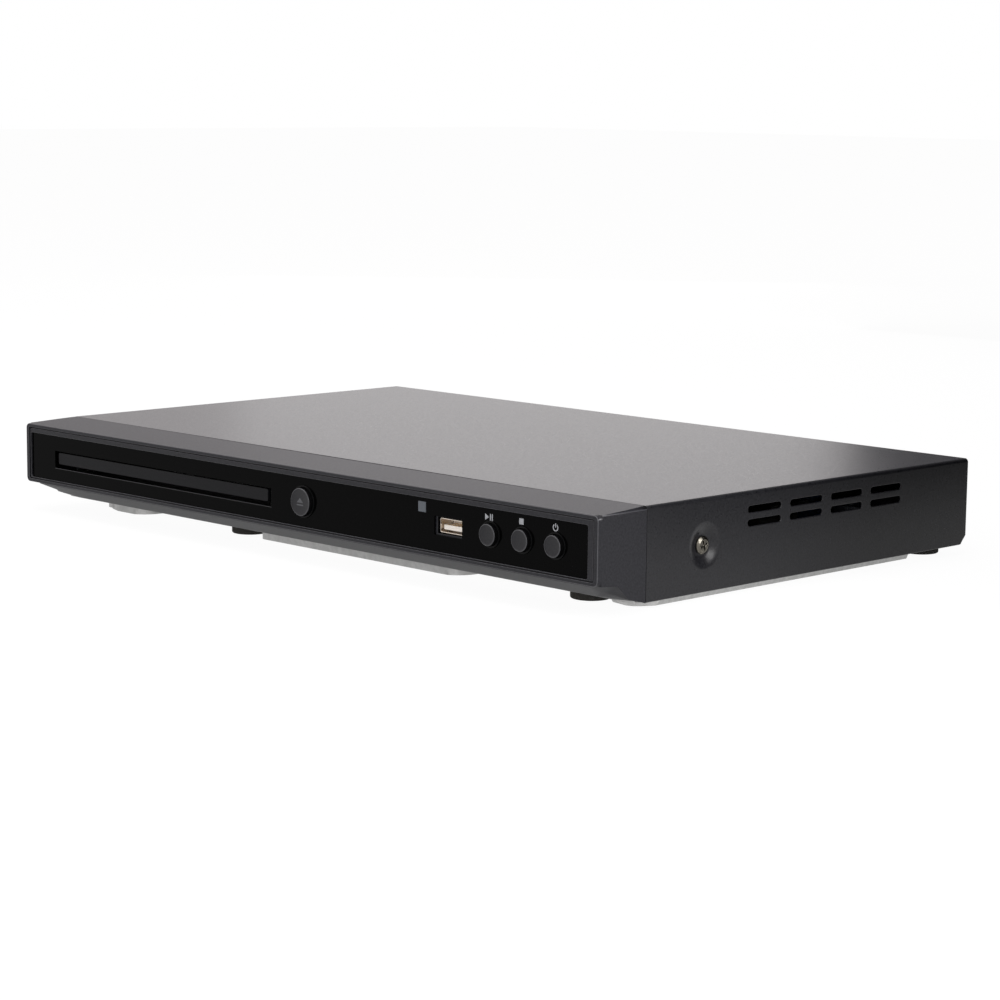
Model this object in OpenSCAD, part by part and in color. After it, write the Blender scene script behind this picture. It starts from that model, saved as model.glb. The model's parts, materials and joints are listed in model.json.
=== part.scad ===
// Slim disc player with a motor-driven tray.
// Millimetres. +X is right seen from the front, +Y is back, +Z is up.
// Places are given from the front frame (y = 0) and the table (z = 0); place() then puts the origin
// under the middle of the whole object.

/* [Case] */
// Width over the top cover
unit_w = 360; // [356:1:370]
// Depth from the front frame to the cover's rear edge
unit_d = 229.6; // [228:0.1:236]
// Height from the table to the top of the cover
unit_h = 41.1; // [41:0.1:43]
// Height of the cover's lower edge, which is also the height of the feet
cover_z = 4.2; // [4:0.1:4.6]
// Thickness of the sheet steel
sheet = 0.7; // [0.6:0.1:0.8]
// Depth of the bezel along its sides
bezel_d = 26.7; // [26.5:0.1:27.5]
// Clearance of the pan above the table
pan_z = 1; // [0.8:0.1:1.4]

/* [Front] */
// Height of the front frame
frame_h = 26.8; // [26.4:0.1:27.2]
// Height of the frame's lower edge above the table
frame_z = 13.3; // [13.1:0.1:13.5]
// Width of the glossy window
window_w = 349.2; // [346:0.1:350]
// Height of the glossy window
window_h = 20.5; // [20.2:0.1:20.8]
// How far the window sits behind the frame
window_y = 1.2; // [1:0.1:1.4]
// Height of the button row above the table
button_z = 26; // [25.6:0.1:26.2]
// How far the buttons stand in front of the frame
button_proud = 1.6; // [1.2:0.1:2]
// Diameter of the open/close button
large_button_d = 11.6; // [11:0.1:12]
// Diameter of the three small buttons
small_button_d = 8.6; // [8.2:0.1:8.8]
// Middle of the open/close button from the middle of the unit
open_x = 13.5; // [12.5:0.1:15]
// Middle of the stop button from the middle of the unit
stop_x = 140.1; // [138:0.1:142]
// Distance from one small button to the next
button_pitch = 17.4; // [16:0.1:18]
// Travel of a button
button_travel = 0.8; // [0.5:0.1:0.9]
// Middle of the USB socket from the middle of the unit
usb_x = 99.7; // [98:0.1:102]

/* [Tray] */
// Middle of the tray from the middle of the unit
tray_x = -84.2; // [-86:0.1:-84]
// Middle of the disc from the front frame
spindle_y = 68; // [68:0.1:68.4]
// Width of the tray
tray_w = 134; // [134:0.1:134.2]
// Length of the tray's rails
tray_len = 177; // [175:0.5:178]
// Width of the tray door
door_w = 147.6; // [147:0.1:148]
// Height of the tray door
door_h = 5.3; // [5:0.1:5.6]
// Radius of the recess for a 12 cm disc
disc_r = 60.8; // [60.6:0.1:61]
// Radius of the recess for an 8 cm disc
small_disc_r = 40.6; // [40.4:0.1:41]

/* [Drives] */
// Tooth size of the tray's rack and its pinion
rack_module = 1; // [1:1:1]
// Tooth size of the small gears
gear_module = 0.6; // [0.6:0.1:0.6]
// Teeth on the pinion that moves the tray
tray_pinion_teeth = 18; // [18:1:18]
// Teeth on the large wheel of the drive gear
drive_wheel_teeth = 36; // [36:1:36]
// Teeth on the pinion of the pulley gear
pulley_pinion_teeth = 14; // [14:1:14]
// Teeth on the pinion that moves the pickup
sled_pinion_teeth = 16; // [16:1:16]
// Teeth on the large wheel of the sled gear
sled_wheel_teeth = 32; // [32:1:32]
// Teeth on the sled motor's gear
sled_motor_teeth = 14; // [14:1:14]
// How far the deck tilts down when the tray is to move, in degrees
deck_tilt = 2.5; // [2.5:0.1:2.5]
// Travel of the lift slider
lift_travel = 14; // [14:1:14]

/* [Hidden] */

$fn = 48;
eps = 0.01;

// ---- case
half_w = unit_w / 2;
inner_x = half_w - sheet;              // inner face of the cover's sides
seam = 0.2;                            // gap between bezel and cover
cover_y = bezel_d + seam;              // front edge of the cover
rear_y = unit_d - sheet;               // outer face of the rear panel
rear_sheet = 0.8;
barrel_len = 8.3;                      // RCA barrels stand out this far
y_mid = (rear_y + barrel_len - button_proud) / 2;
cover_bend = 1.6;                      // outer radius of the cover's folds
wall_top = 25.5;                       // top of the chassis side walls
chassis_x = inner_x - 0.2;             // outer face of the chassis walls
chassis_y = 22.9;                      // front face of the chassis
floor_z = pan_z + sheet;               // inner face of the lowered pan
flange_z = cover_z + sheet;            // inner face of the raised floor
pan_x = 174.3;                         // half width of the pan at its lowest
pan_flare = 2.2;                       // how much wider the pan is at the top
pan_front = 24.2;
pan_rear = 221;

// side screw seat and ventilation slots
seat_y = 60;
seat_z = 22.5;
seat_r = 8.25;
seat_flat_r = 4.6;
seat_depth = 1.8;
slot_len = 20.3;
slot_h = 2.7;
slot_pitch = 25.8;
slot_first_y = 95.4;
slot_rows = [28.4, 33.8];

// feet: front left, front right, rear right, rear left
foot_r = 8;
feet = [[-63, 36], [143, 36], [164, 219], [-164, 219]];

// ---- front
frame_mid_z = frame_z + frame_h / 2;
window_mid_z = 25.85;
window_t = 0.8;
window_back = window_y + window_t;
bezel_wall = 2;
back_wall_y = window_back + 2;         // inner face of the bezel's front wall
body_y = 2.4;                          // where the bezel's body starts behind the frame
chin_back = 22.5;                      // rear edge of the chin
chin_end = [173, 165];                 // half width of the chin at its top and at its bottom
side_knee = [11.4, 12.4];              // corners of the side's lower edge, in y and z
side_foot = [17.5, 6.6];
side_heel = [25.6, 4.6];
frame_r = 2.2;
slot_w = door_w + 4.4;
slot_x = tray_x + 0.8;
tray_slot_h = 7.8;
slot_mid_z = 25.2;
// hole in the bezel's wall behind the window: left, right, bottom, top
wall_hole = [-172, -2, 18, 34.3];
button_gap = 0.25;
play_x = stop_x - button_pitch;
power_x = stop_x + button_pitch;
sleeve_end = back_wall_y + 1;          // rear end of the button sleeves
board_y = 13;                          // front face of the front board
switch_face_y = 8.6;                   // tip of a switch's plunger
usb_w = 13.1;
usb_h = 5.7;
usb_z = 26;
usb_y = window_y + 1.6;
ir_x = 84.4;
ir_z = 32.3;
ir_w = 4.4;
ir_h = 4.2;

// ---- tray
door_t = 2.8;
door_y = window_back + 0.1;
door_z = 25.75;
tray_y = door_y + door_t + 0.1;
tray_half = tray_w / 2;
tray_low_z = 22.6;                     // under side of the rails
tray_floor_z = 24.8;                   // under side of the recess floor
tray_floor_t = 1.2;
rim_z = 28.3;                          // top of the rim
skin = 1.2;
rail_t = 2.8;
plate_end = 150;                       // rear edge of the tray's plate
pickup_half = 20;                      // half width of the pickup window

// ---- loader
loader_half = 76;
loader_y = 24.8;
loader_end = 200;
loader_low = 6;
deck_floor_z = 12.5;                   // floor that carries the tray's gears
deck_floor_t = 1.5;
guide_half = tray_half + 0.4;
guide_top = 30.6;
bridge_z = 30.7;
bridge_t = 1.2;
bridge_screw_x = loader_half - 4.4;
bridge_screw_y = [56, 84];
pin_r = 1.5;
bore_r = 1.55;                         // running fit on the pins

// tray drive: pinion on the rack, then the pulley gear, then the motor
pinion_r = rack_module * tray_pinion_teeth / 2;
wheel_r = gear_module * drive_wheel_teeth / 2;
pulley_pinion_r = gear_module * pulley_pinion_teeth / 2;
rack_line = tray_half - rail_t - 1;    // pitch line of the rack from the tray's middle
drive_gear_x = tray_x + rack_line - pinion_r;
drive_gear_y = 41;
pulley_dir = 190;
pulley_dist = wheel_r + pulley_pinion_r;
pulley_gear_x = drive_gear_x + pulley_dist * cos(pulley_dir);
pulley_gear_y = drive_gear_y + pulley_dist * sin(pulley_dir);
motor_x = -78;
motor_y = 36.8;
motor_r = 10;
belt_z = 15.35;
belt_t = 1;
pulley_r = 9;
motor_pulley_r = 2.5;
belt_gap = 0.1;

// ---- deck
pivot_y = 160;
pivot_z = 13;
deck_z = 15;
deck_t = 1.2;
deck_front = 52.5;
deck_back = 166;
deck_left = -38;
deck_right = 52;
rod_x = 26;
rod_z = 18;
rod_y = [76, 150];
pickup_y = 82;
pickup_len = 22;
pickup_half_w = 30;
lens_y = 92;
sled_travel = 34;
sled_pinion_r = gear_module * sled_pinion_teeth / 2;
sled_wheel_r = gear_module * sled_wheel_teeth / 2;
sled_motor_r = gear_module * sled_motor_teeth / 2;
sled_rack_line = 36;
sled_gear_x = tray_x + sled_rack_line + sled_pinion_r;
sled_gear_y = 100;
sled_motor_y = sled_gear_y + sled_wheel_r + sled_motor_r;
cam_pin_r = 1.25;
cam_pin_x = tray_x - 8;
cam_pin_z = pivot_z;
slider_y = 49.4;
slider_t = 1.8;
slider_low = 5.6;
slider_pin_z = 8.5;
slider_pins = [cam_pin_x - tray_x - 19, cam_pin_x - tray_x + 19];

// ---- boards and jacks
board_t = 1.6;
main_x = [2, 110];
main_y = [96, 226];
board_z = 9;
board_top = board_z + board_t;
power_x0 = 116;
power_x1 = 172;
power_y0 = 70;
power_y1 = 224;
jack_z = 20;
rca_x = [12, 26, 40, 56];
rca_r = 4.15;
rca_screw_x = (rca_x[0] + rca_x[2]) / 2;
rca_screw_z = jack_z + 9.5;
hdmi_x = 76;
hdmi_z = 13.5;
scart_x = -40;
inlet_x = 150;

// ---- helpers
module place() translate([0, -y_mid, 0]) children();

module box(x0, x1, y0, y1, z0, z1)
    translate([x0, y0, z0]) cube([x1 - x0, y1 - y0, z1 - z0]);

module rod_along_y(x, z, r, y0, y1)
    translate([x, y0, z]) rotate([-90, 0, 0]) cylinder(r = r, h = y1 - y0);

module rod_along_x(y, z, r, x0, x1)
    translate([x0, y, z]) rotate([0, 90, 0]) cylinder(r = r, h = x1 - x0);

module rod_along_z(x, y, r, z0, z1)
    translate([x, y, z0]) cylinder(r = r, h = z1 - z0);

module both_sides() {
    children();
    mirror([1, 0, 0]) children();
}

// rectangle with round corners, centred
module round_rect(w, h, r) {
    square([w - 2 * r, h], center = true);
    square([w, h - 2 * r], center = true);
    for (sx = [-1, 1], sz = [-1, 1])
        translate([sx * (w / 2 - r), sz * (h / 2 - r)]) circle(r);
}

// a flat outline drawn in x and z, given depth along y
module upright(x, z, y0, y1)
    translate([x, y1, z]) rotate([90, 0, 0]) linear_extrude(y1 - y0) children();

// a profile drawn in y and z, swept along x
module along_x(x0, x1)
    translate([x0, 0, 0]) rotate([90, 0, 90]) linear_extrude(x1 - x0) children();

// what is cut away to round a convex corner of an outline
module corner(r) difference() {
    square(r + 1);
    translate([r, r]) circle(r);
    translate([r, -1]) square(r + 3);
    translate([-1, r]) square(r + 3);
}

// ---- gear teeth: involute flanks, stub height, a little backlash
pressure = 20;
addendum = 0.8;
dedendum = 1.05;
backlash = 0.16;
function involute(base, a) = [base * (cos(a) + a * PI / 180 * sin(a)),
    base * (sin(a) - a * PI / 180 * cos(a))];
function turn(p, a) = [p[0] * cos(a) - p[1] * sin(a), p[0] * sin(a) + p[1] * cos(a)];
function roll(base, r) = sqrt(max(0, r * r / (base * base) - 1)) * 180 / PI;
function flank_angle(base, r) = roll(base, r) - acos(min(1, base / r));

// one tooth pointing along +x
module tooth(teeth, mod) {
    pitch_r = teeth * mod / 2;
    base = pitch_r * cos(pressure);
    tip = pitch_r + addendum * mod;
    root = pitch_r - dedendum * mod;
    half = 90 / teeth - backlash / 2 / pitch_r * 180 / PI + flank_angle(base, pitch_r);
    start = max(base, root);
    steps = 4;
    flank = [for (i = [0 : steps]) turn(
        involute(base, roll(base, start + (tip - start) * i / steps)), -half)];
    foot = turn([root - 0.2, 0], -half);
    lower = concat([foot], flank);
    upper = [for (i = [len(lower) - 1 : -1 : 0]) [lower[i][0], -lower[i][1]]];
    polygon(concat(lower, upper));
}

// a toothed wheel whose first tooth points at angle phase
module gear(teeth, mod, h, phase) linear_extrude(h) {
    circle(teeth * mod / 2 - dedendum * mod);
    for (i = [0 : teeth - 1]) rotate(phase + 360 * i / teeth) tooth(teeth, mod);
}

// a rack along +y with its pitch line on x = 0 and its teeth towards -x, from y0 to y1;
// a tooth is centred on y = phase
module rack_teeth(mod, y0, y1, phase) {
    pitch = PI * mod;
    half = pitch / 4 - backlash / 2;
    first = ceil((y0 - phase) / pitch);
    last = floor((y1 - phase) / pitch);
    slope = tan(pressure) * mod;
    for (i = [first : last]) translate([0, phase + i * pitch])
        polygon([[dedendum * mod + 0.2, -half - dedendum * slope],
            [-addendum * mod, -half + addendum * slope],
            [-addendum * mod, half - addendum * slope],
            [dedendum * mod + 0.2, half + dedendum * slope]]);
}

// ---- screws
// a pan-head screw with a cross recess, head up, at the head's seat
module screw(head_r, head_h, shank_r, shank_len) {
    difference() {
        union() {
            cylinder(r = head_r, h = head_h * 0.55);
            translate([0, 0, head_h * 0.55]) cylinder(r1 = head_r, r2 = head_r * 0.7, h = head_h * 0.45);
        }
        for (a = [0, 90]) rotate(a)
            translate([-head_r * 0.55, -head_r * 0.11, head_h * 0.35]) cube([head_r * 1.1, head_r * 0.22, head_h]);
    }
    translate([0, 0, -shank_len]) cylinder(r = shank_r, h = shank_len + eps);
}

// ================================================================ case

module cover_outline(inset) {
    r = cover_bend - inset;
    top = unit_h - inset;
    side = half_w - inset;
    translate([-side, cover_z - inset * 2]) square([2 * side, top - r - cover_z + inset * 2]);
    translate([-side + r, top - r - 1]) square([2 * (side - r), r + 1]);
    for (s = [-1, 1]) translate([s * (side - r), top - r]) circle(r);
}

// outline in x and z, made into a solid from y0 to y1
module sweep_back(y0, y1) upright(0, 0, y0, y1) children();

module side_slots() {
    for (row = slot_rows, i = [0 : 3])
        translate([inner_x - 3, slot_first_y + i * slot_pitch, row]) rotate([90, 0, 90])
            linear_extrude(8) round_rect(slot_len, slot_h, slot_h / 2 - 0.01);
}

// dished seat: the sheet is pressed in, so it stands out inside
module seat_cone(r_out, r_flat, x_out)
    translate([x_out, seat_y, seat_z]) rotate([0, -90, 0])
        cylinder(r1 = r_out, r2 = r_flat, h = seat_depth);

module top_cover() color("#3a3a3c") place() difference() {
    union() {
        difference() {
            sweep_back(cover_y, unit_d) cover_outline(0);
            sweep_back(cover_y - 1, unit_d - sheet) cover_outline(sheet);
            // the back is open below the rear flange
            box(-inner_x, inner_x, unit_d - sheet - 1, unit_d + 1, 0, 32.6);
        }
        both_sides() seat_cone(seat_r + 0.4, seat_flat_r + 0.5, inner_x + eps);
    }
    both_sides() {
        side_slots();
        seat_cone(seat_r, seat_flat_r, half_w + eps);
        rod_along_x(seat_y, seat_z, 1.7, inner_x - 4, half_w + 1);
        // clipped rear lower corner
        translate([half_w + 1, unit_d, cover_z - 1]) rotate([0, -90, 0])
            linear_extrude(sheet + 2) polygon([[-1, -5.5], [6, 1], [-1, 1]]);
    }
    for (x = [-120, 0, 120]) rod_along_y(x, 36.6, 1.7, unit_d - 3, unit_d + 1);
}

// the lowered pan, drawn in by t for its inner face
module pan_body(t) intersection() {
    along_x(-half_w, half_w) polygon([[pan_front + t, pan_z + t], [chassis_y + t * 1.1, flange_z + 1],
        [pan_rear + pan_flare - t, flange_z + 1], [pan_rear - t, pan_z + t]]);
    sweep_back(0, unit_d) polygon([[-pan_x + t, pan_z + t], [-pan_x - pan_flare + t, flange_z + 1],
        [pan_x + pan_flare - t, flange_z + 1], [pan_x - t, pan_z + t]]);
    linear_extrude(20) pan_plan(t);
}

// plan of the lowered part of the pan, without the raised areas round the feet, drawn in by t
module pan_plan(t) difference() {
    translate([-half_w, 0]) square([unit_w, pan_rear + pan_flare]);
    for (f = [feet[0], feet[1]]) translate(f) {
        translate([-22.5, -4]) round_rect(78 + 2 * t, 40 + 2 * t, 9 + t);
        translate([16.5 + t, chassis_y + t - f[1]]) corner(12);
        translate([-61.5 - t, chassis_y + t - f[1]]) mirror([1, 0]) corner(12);
    }
    both_sides() translate([170, 214]) round_rect(52 + 2 * t, 36 + 2 * t, 10 + t);
    translate([pan_x + pan_flare - t, chassis_y + t]) mirror([1, 0]) corner(26);
    translate([-pan_x - pan_flare + t, chassis_y + t]) corner(44);
}

loader_posts = [[-68, 30], [68, 30], [-68, 192], [68, 192]];
main_posts = [[8, 102], [104, 102], [8, 200], [104, 200], [-62, 212]];
power_posts = [[121, 76], [167, 76], [121, 190], [167, 190]];

module bottom_chassis() color("#b9b9b6") place() difference() {
    union() {
        difference() {
            union() {
                box(-chassis_x + 1.4, chassis_x - 1.4, chassis_y, cover_y + 1, cover_z, flange_z);
                box(-chassis_x, chassis_x, cover_y + 0.3, rear_y - rear_sheet - 0.2, cover_z, flange_z);
                pan_body(0);
            }
            pan_body(sheet);
            // nothing of the pan stands above the raised floor
            box(-half_w, half_w, 0, unit_d, flange_z, 20);
        }
        // low front wall and side walls
        box(-chassis_x + 1.4, chassis_x - 1.4, chassis_y, chassis_y + sheet, cover_z, 12);
        both_sides() {
            box(chassis_x - sheet, chassis_x, cover_y + 0.3, 49, cover_z, wall_top);
            box(chassis_x - sheet, chassis_x, 71, rear_y - rear_sheet - 0.2, cover_z, wall_top);
            box(chassis_x - sheet, chassis_x, 48, 72, cover_z, 12);
            // tab behind the screw seat
            box(176.4, 177.3, 51, 69, cover_z, 29);
        }
        for (p = loader_posts) rod_along_z(tray_x + p[0], p[1], 3.4, floor_z - 0.3, loader_low);
        for (p = concat(main_posts, power_posts)) rod_along_z(p[0], p[1], 3, floor_z - 0.3, board_z);
    }
    both_sides() rod_along_x(seat_y, seat_z, 1.3, 170, 180);
    for (p = concat(main_posts, power_posts)) rod_along_z(p[0], p[1], 1.25, 0, board_z + 1);
    for (p = loader_posts) rod_along_z(tray_x + p[0], p[1], 1.25, 0, loader_low + 1);
    // air slots under the power board
    for (i = [0 : 7], j = [0, 1])
        translate([132 + j * 22, 100 + i * 10, -1]) linear_extrude(6) round_rect(16, 2.4, 1.19);
}

module rear_panel() color("#2c2c2e") place() difference() {
    union() {
        box(-178.2, 178.2, rear_y - rear_sheet, rear_y, flange_z + 0.05, 40.2);
        box(-176, 176, rear_y - 9, rear_y, flange_z + 0.05, flange_z + 0.85);
    }
    for (x = rca_x) rod_along_y(x, jack_z, rca_r + 0.3, rear_y - 2, rear_y + 1);
    upright(hdmi_x, hdmi_z, rear_y - 2, rear_y + 1) round_rect(15.4, 6, 1);
    rod_along_y(rca_screw_x, rca_screw_z, 1.2, rear_y - 2, rear_y + 1);
    upright(scart_x, jack_z, rear_y - 2, rear_y + 1) scart_outline(0.3);
    upright(inlet_x, 18, rear_y - 2, rear_y + 1) round_rect(21, 13.4, 3);
    for (x = [-120, 0, 120]) rod_along_y(x, 36.6, 1.3, rear_y - 2, rear_y + 1);
    for (i = [0 : 9]) upright(-150 + i * 6, 20, rear_y - 2, rear_y + 1) round_rect(2.4, 14, 1.19);
}

module rubber_foot() difference() {
    union() {
        cylinder(r1 = foot_r - 0.4, r2 = foot_r, h = 0.4);
        translate([0, 0, 0.4]) cylinder(r = foot_r, h = cover_z - 0.4);
    }
    translate([0, 0, -1]) cylinder(r = 3, h = 1.8);
}

module rubber_feet() color("#262624") place()
    for (f = feet) translate([f[0], f[1], 0]) rubber_foot();

module side_screws() color("#8a8a8c") place() both_sides()
    translate([half_w - seat_depth + eps, seat_y, seat_z]) rotate([0, 90, 0]) rotate(20)
        screw(3.1, 1.5, 1.25, 5);

module rear_screws() color("#8a8a8c") place() {
    for (x = [-120, 0, 120])
        translate([x, unit_d, 36.6]) rotate([-90, 0, 0]) screw(3, 1.6, 1.25, 5);
    translate([rca_screw_x, rear_y, rca_screw_z]) rotate([-90, 0, 0]) screw(2.6, 1.4, 0.85, 5);
}

// ================================================================ front

// roof and front wall as one section, in y and z
module roof_section() polygon([
    [body_y, frame_z + frame_h - 0.05], [bezel_d, unit_h], [bezel_d, unit_h - bezel_wall],
    [back_wall_y, unit_h - bezel_wall - 0.9], [back_wall_y, 13.6], [body_y, 13.6]]);

// the sloping chin, with the lower end of the front wall
module chin_section() polygon([
    [body_y, 14], [body_y, 12.6], [15.2, 6.5], [19.4, 5.2], [21.5, 4.6], [chin_back, 4.5],
    [chin_back, 6.4], [20.2, 7], [16.1, 8.4], [back_wall_y, 13.6], [back_wall_y, 14]]);

// side return: level under the frame, then a diagonal down to the cover's lower edge
module bezel_side() polygon([
    [body_y, frame_z], side_knee, side_foot, side_heel, [bezel_d, cover_z],
    [bezel_d, unit_h], [body_y, frame_z + frame_h - 0.05]]);

// body between the chin's end and the side return, moved by m and up to the height top
module corner_body(m, right, top) hull() {
    along_x(chin_end[0] + m[0], chin_end[0] + m[0] + 0.4) polygon([
        [body_y + m[1], 12.6 + m[2]], [body_y + m[1], top], [10, top]]);
    along_x(chin_end[1] + m[0], chin_end[1] + m[0] + 0.4) polygon([
        [body_y + m[1], 12.6 + m[2]], [15.2 + m[1], 6.5 + m[2]], [19.4 + m[1], 5.2 + m[2]],
        [21.5 + m[1], 4.6 + m[2]], [chin_back + m[1], 4.5 + m[2]], [chin_back + m[1], top],
        [body_y + m[1], top]]);
    along_x(right - 2, right) polygon([[side_knee[0] + m[1], side_knee[1] + m[2]],
        [side_foot[0] + m[1], side_foot[1] + m[2]], [side_heel[0] + m[1], side_heel[1] + m[2]],
        [side_heel[0] + m[1], top], [side_knee[0] + m[1], top]]);
}

// slanting corner with its hollow, and the level piece under the frame's end
module chin_corner() difference() {
    union() {
        corner_body([0, 0, 0], half_w, 13.2);
        along_x(168, half_w - 1) polygon([[body_y, frame_z], [12.4, 12.3], [12.4, 14.2], [body_y, 15]]);
    }
    corner_body([-0.8, 0.8, 1.4], half_w - bezel_wall, 18);
    box(160, half_w - bezel_wall - eps, chin_back, bezel_d, 0, 15);
}

module frame_plate(inset, y0, y1, side = 0)
    upright(0, frame_mid_z, y0, y1)
        round_rect(unit_w - 2 * (inset + side), frame_h - 2 * inset, max(0.4, frame_r - inset));

module bezel_roof_corners() sweep_back(-1, bezel_d + 6) {
    translate([-half_w, 0]) square([unit_w, unit_h - 2]);
    translate([-half_w + 2, 0]) square([unit_w - 4, unit_h + 1]);
    for (s = [-1, 1]) translate([s * (half_w - 2), unit_h - 2]) circle(2);
}

module sleeve(x, d) rod_along_y(x, button_z, d / 2 + button_gap + 0.7, window_y - 0.5, sleeve_end);

button_places = [[open_x, large_button_d], [play_x, small_button_d], [stop_x, small_button_d],
    [power_x, small_button_d]];
board_posts = [[2.6, 34], [70, 19], [112, 33], [168, 33]];

module front_bezel() color("#353537") place() intersection() {
    bezel_roof_corners();
    difference() {
        union() {
            difference() {
                frame_plate(0, 0, body_y + 0.1);
                // the inner lip stands a little back from the rim, with a groove between them
                difference() {
                    frame_plate(1.5, -1, 1.1, 0.5);
                    frame_plate(2, -2, 3, 0.6);
                }
                frame_plate(1.6, -1, 0.4, 0.5);
            }
            along_x(-half_w + 1, half_w - 1) roof_section();
            along_x(-chin_end[1] - 0.2, chin_end[1] + 0.2) chin_section();
            both_sides() {
                along_x(half_w - bezel_wall, half_w) bezel_side();
                chin_corner();
            }
            // sleeves that show as thin rings in the window
            for (b = button_places) sleeve(b[0], b[1]);
            for (p = board_posts) rod_along_y(p[0], p[1], 2.5, back_wall_y - 1, board_y);
            // ribs behind the chin and tongues under the cover
            for (x = [-150, -100, -50, 0, 50, 100, 150]) {
                along_x(x, x + 1.4) polygon([[back_wall_y - 1, 13.4], [16, 7.8], [22, 5.5], [22.6, 12],
                    [12, 15], [back_wall_y - 1, 17.5]]);
                box(x, x + 14, bezel_d - 5, bezel_d + 4, unit_h - sheet - 1.9, unit_h - sheet - 0.15);
            }
        }
        // seat of the window, left clear round the sleeves
        difference() {
            upright(0, window_mid_z, -1, window_back) round_rect(window_w, window_h, 1);
            for (b = button_places) rod_along_y(b[0], button_z, b[1] / 2 + button_gap + 0.7, -2, 20);
        }
        // the sleeves end just in front of the window
        for (b = button_places) {
            rod_along_y(b[0], button_z, b[1] / 2 + button_gap + 0.8, -2, window_y - 0.5);
            rod_along_y(b[0], button_z, b[1] / 2 + button_gap, -2, 20);
        }
        box(wall_hole[0], wall_hole[1], window_back - 1, back_wall_y + 1, wall_hole[2], wall_hole[3]);
        upright(usb_x, usb_z, -2, 20) square([usb_w + 1, usb_h + 0.8], center = true);
        upright(ir_x, ir_z, -2, 20) square([ir_w + 0.4, ir_h + 0.4], center = true);
        for (p = board_posts) rod_along_y(p[0], p[1], 1, back_wall_y, board_y + 1);
    }
}

module front_window() color("#0d0d0e") place() difference() {
    upright(0, window_mid_z, window_y, window_back) round_rect(window_w - 0.1, window_h - 0.1, 0.95);
    for (b = button_places)
        rod_along_y(b[0], button_z, b[1] / 2 + button_gap + 0.75, 0, 5);
    upright(slot_x, slot_mid_z, 0, 5) square([slot_w, tray_slot_h], center = true);
    upright(usb_x - 0.5, usb_z - 0.2, 0, 5) square([usb_w + 2.4, usb_h + 1.7], center = true);
    upright(ir_x, ir_z, 0, 5) square([ir_w, ir_h], center = true);
}

module ir_window() color("#8d9298") place()
    upright(ir_x, ir_z, window_y - 0.05, window_back + 0.2) square([ir_w - 0.1, ir_h - 0.1], center = true);

// the cap runs in its sleeve; the flange behind keeps it in and the stem presses the switch
module button(x, d) {
    bevel = 0.5;
    flange_y = sleeve_end + 0.3;
    translate([x, -button_proud, button_z]) rotate([-90, 0, 0]) {
        cylinder(r1 = d / 2 - bevel, r2 = d / 2, h = bevel);
        translate([0, 0, bevel]) cylinder(r = d / 2, h = flange_y + button_proud - bevel);
    }
    rod_along_y(x, button_z, d / 2 + 0.9, flange_y, flange_y + 1);
    rod_along_y(x, button_z, 1.6, flange_y + 1, switch_face_y - button_travel - 0.15);
}

module open_close_button() color("#39393b") place() button(open_x, large_button_d);
module play_button() color("#39393b") place() button(play_x, small_button_d);
module stop_button() color("#39393b") place() button(stop_x, small_button_d);
module power_button() color("#39393b") place() button(power_x, small_button_d);

module usb_shell() color("#c8c4bc") place() difference() {
    upright(usb_x, usb_z, usb_y, board_y) round_rect(usb_w, usb_h, 0.8);
    upright(usb_x, usb_z, usb_y - 1, board_y - 1.5) round_rect(usb_w - 0.6, usb_h - 0.6, 0.5);
}

module usb_tongue() color("#e8e2d2") place() {
    box(usb_x - 5.5, usb_x + 5.5, usb_y + 1.2, board_y - 1.5, usb_z - 1.75, usb_z + 0.1);
    box(usb_x - 6, usb_x + 6, board_y - 3.5, board_y - 1.5, usb_z - 2.4, usb_z + 2.4);
}

module front_board() color("#2f6b3c") place() difference() {
    box(-6, 173, board_y, board_y + board_t, 15.6, 37);
    for (p = board_posts) rod_along_y(p[0], p[1], 1.1, board_y - 1, board_y + 3);
}

module tact_switches() color("#1c1c1e") place()
    for (b = button_places) {
        box(b[0] - 3, b[0] + 3, board_y - 3.5, board_y, button_z - 3, button_z + 3);
        rod_along_y(b[0], button_z, 1.75, switch_face_y, board_y - 3.4);
    }

module ir_receiver() color("#26262a") place() {
    box(ir_x - 3, ir_x + 3, board_y - 3.4, board_y, ir_z - 3.4, ir_z + 3.2);
    rod_along_y(ir_x, ir_z, 2.2, board_y - 5, board_y - 3.3);
}

// ================================================================ tray

// plan of the tray's plate
module tray_plan() difference() {
    translate([-tray_half, tray_y]) square([tray_w, plate_end - tray_y]);
    for (s = [-1, 1]) translate([s * 40, plate_end + 14]) circle(20);
}

module toothed_rail() {
    box(tray_half - rail_t, tray_half, tray_y, tray_y + tray_len, tray_low_z, rim_z);
    translate([rack_line, 0, tray_low_z]) linear_extrude(tray_floor_z - tray_low_z)
        rack_teeth(rack_module, drive_gear_y - 6, tray_y + tray_len - 2, rack_phase);
}

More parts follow.
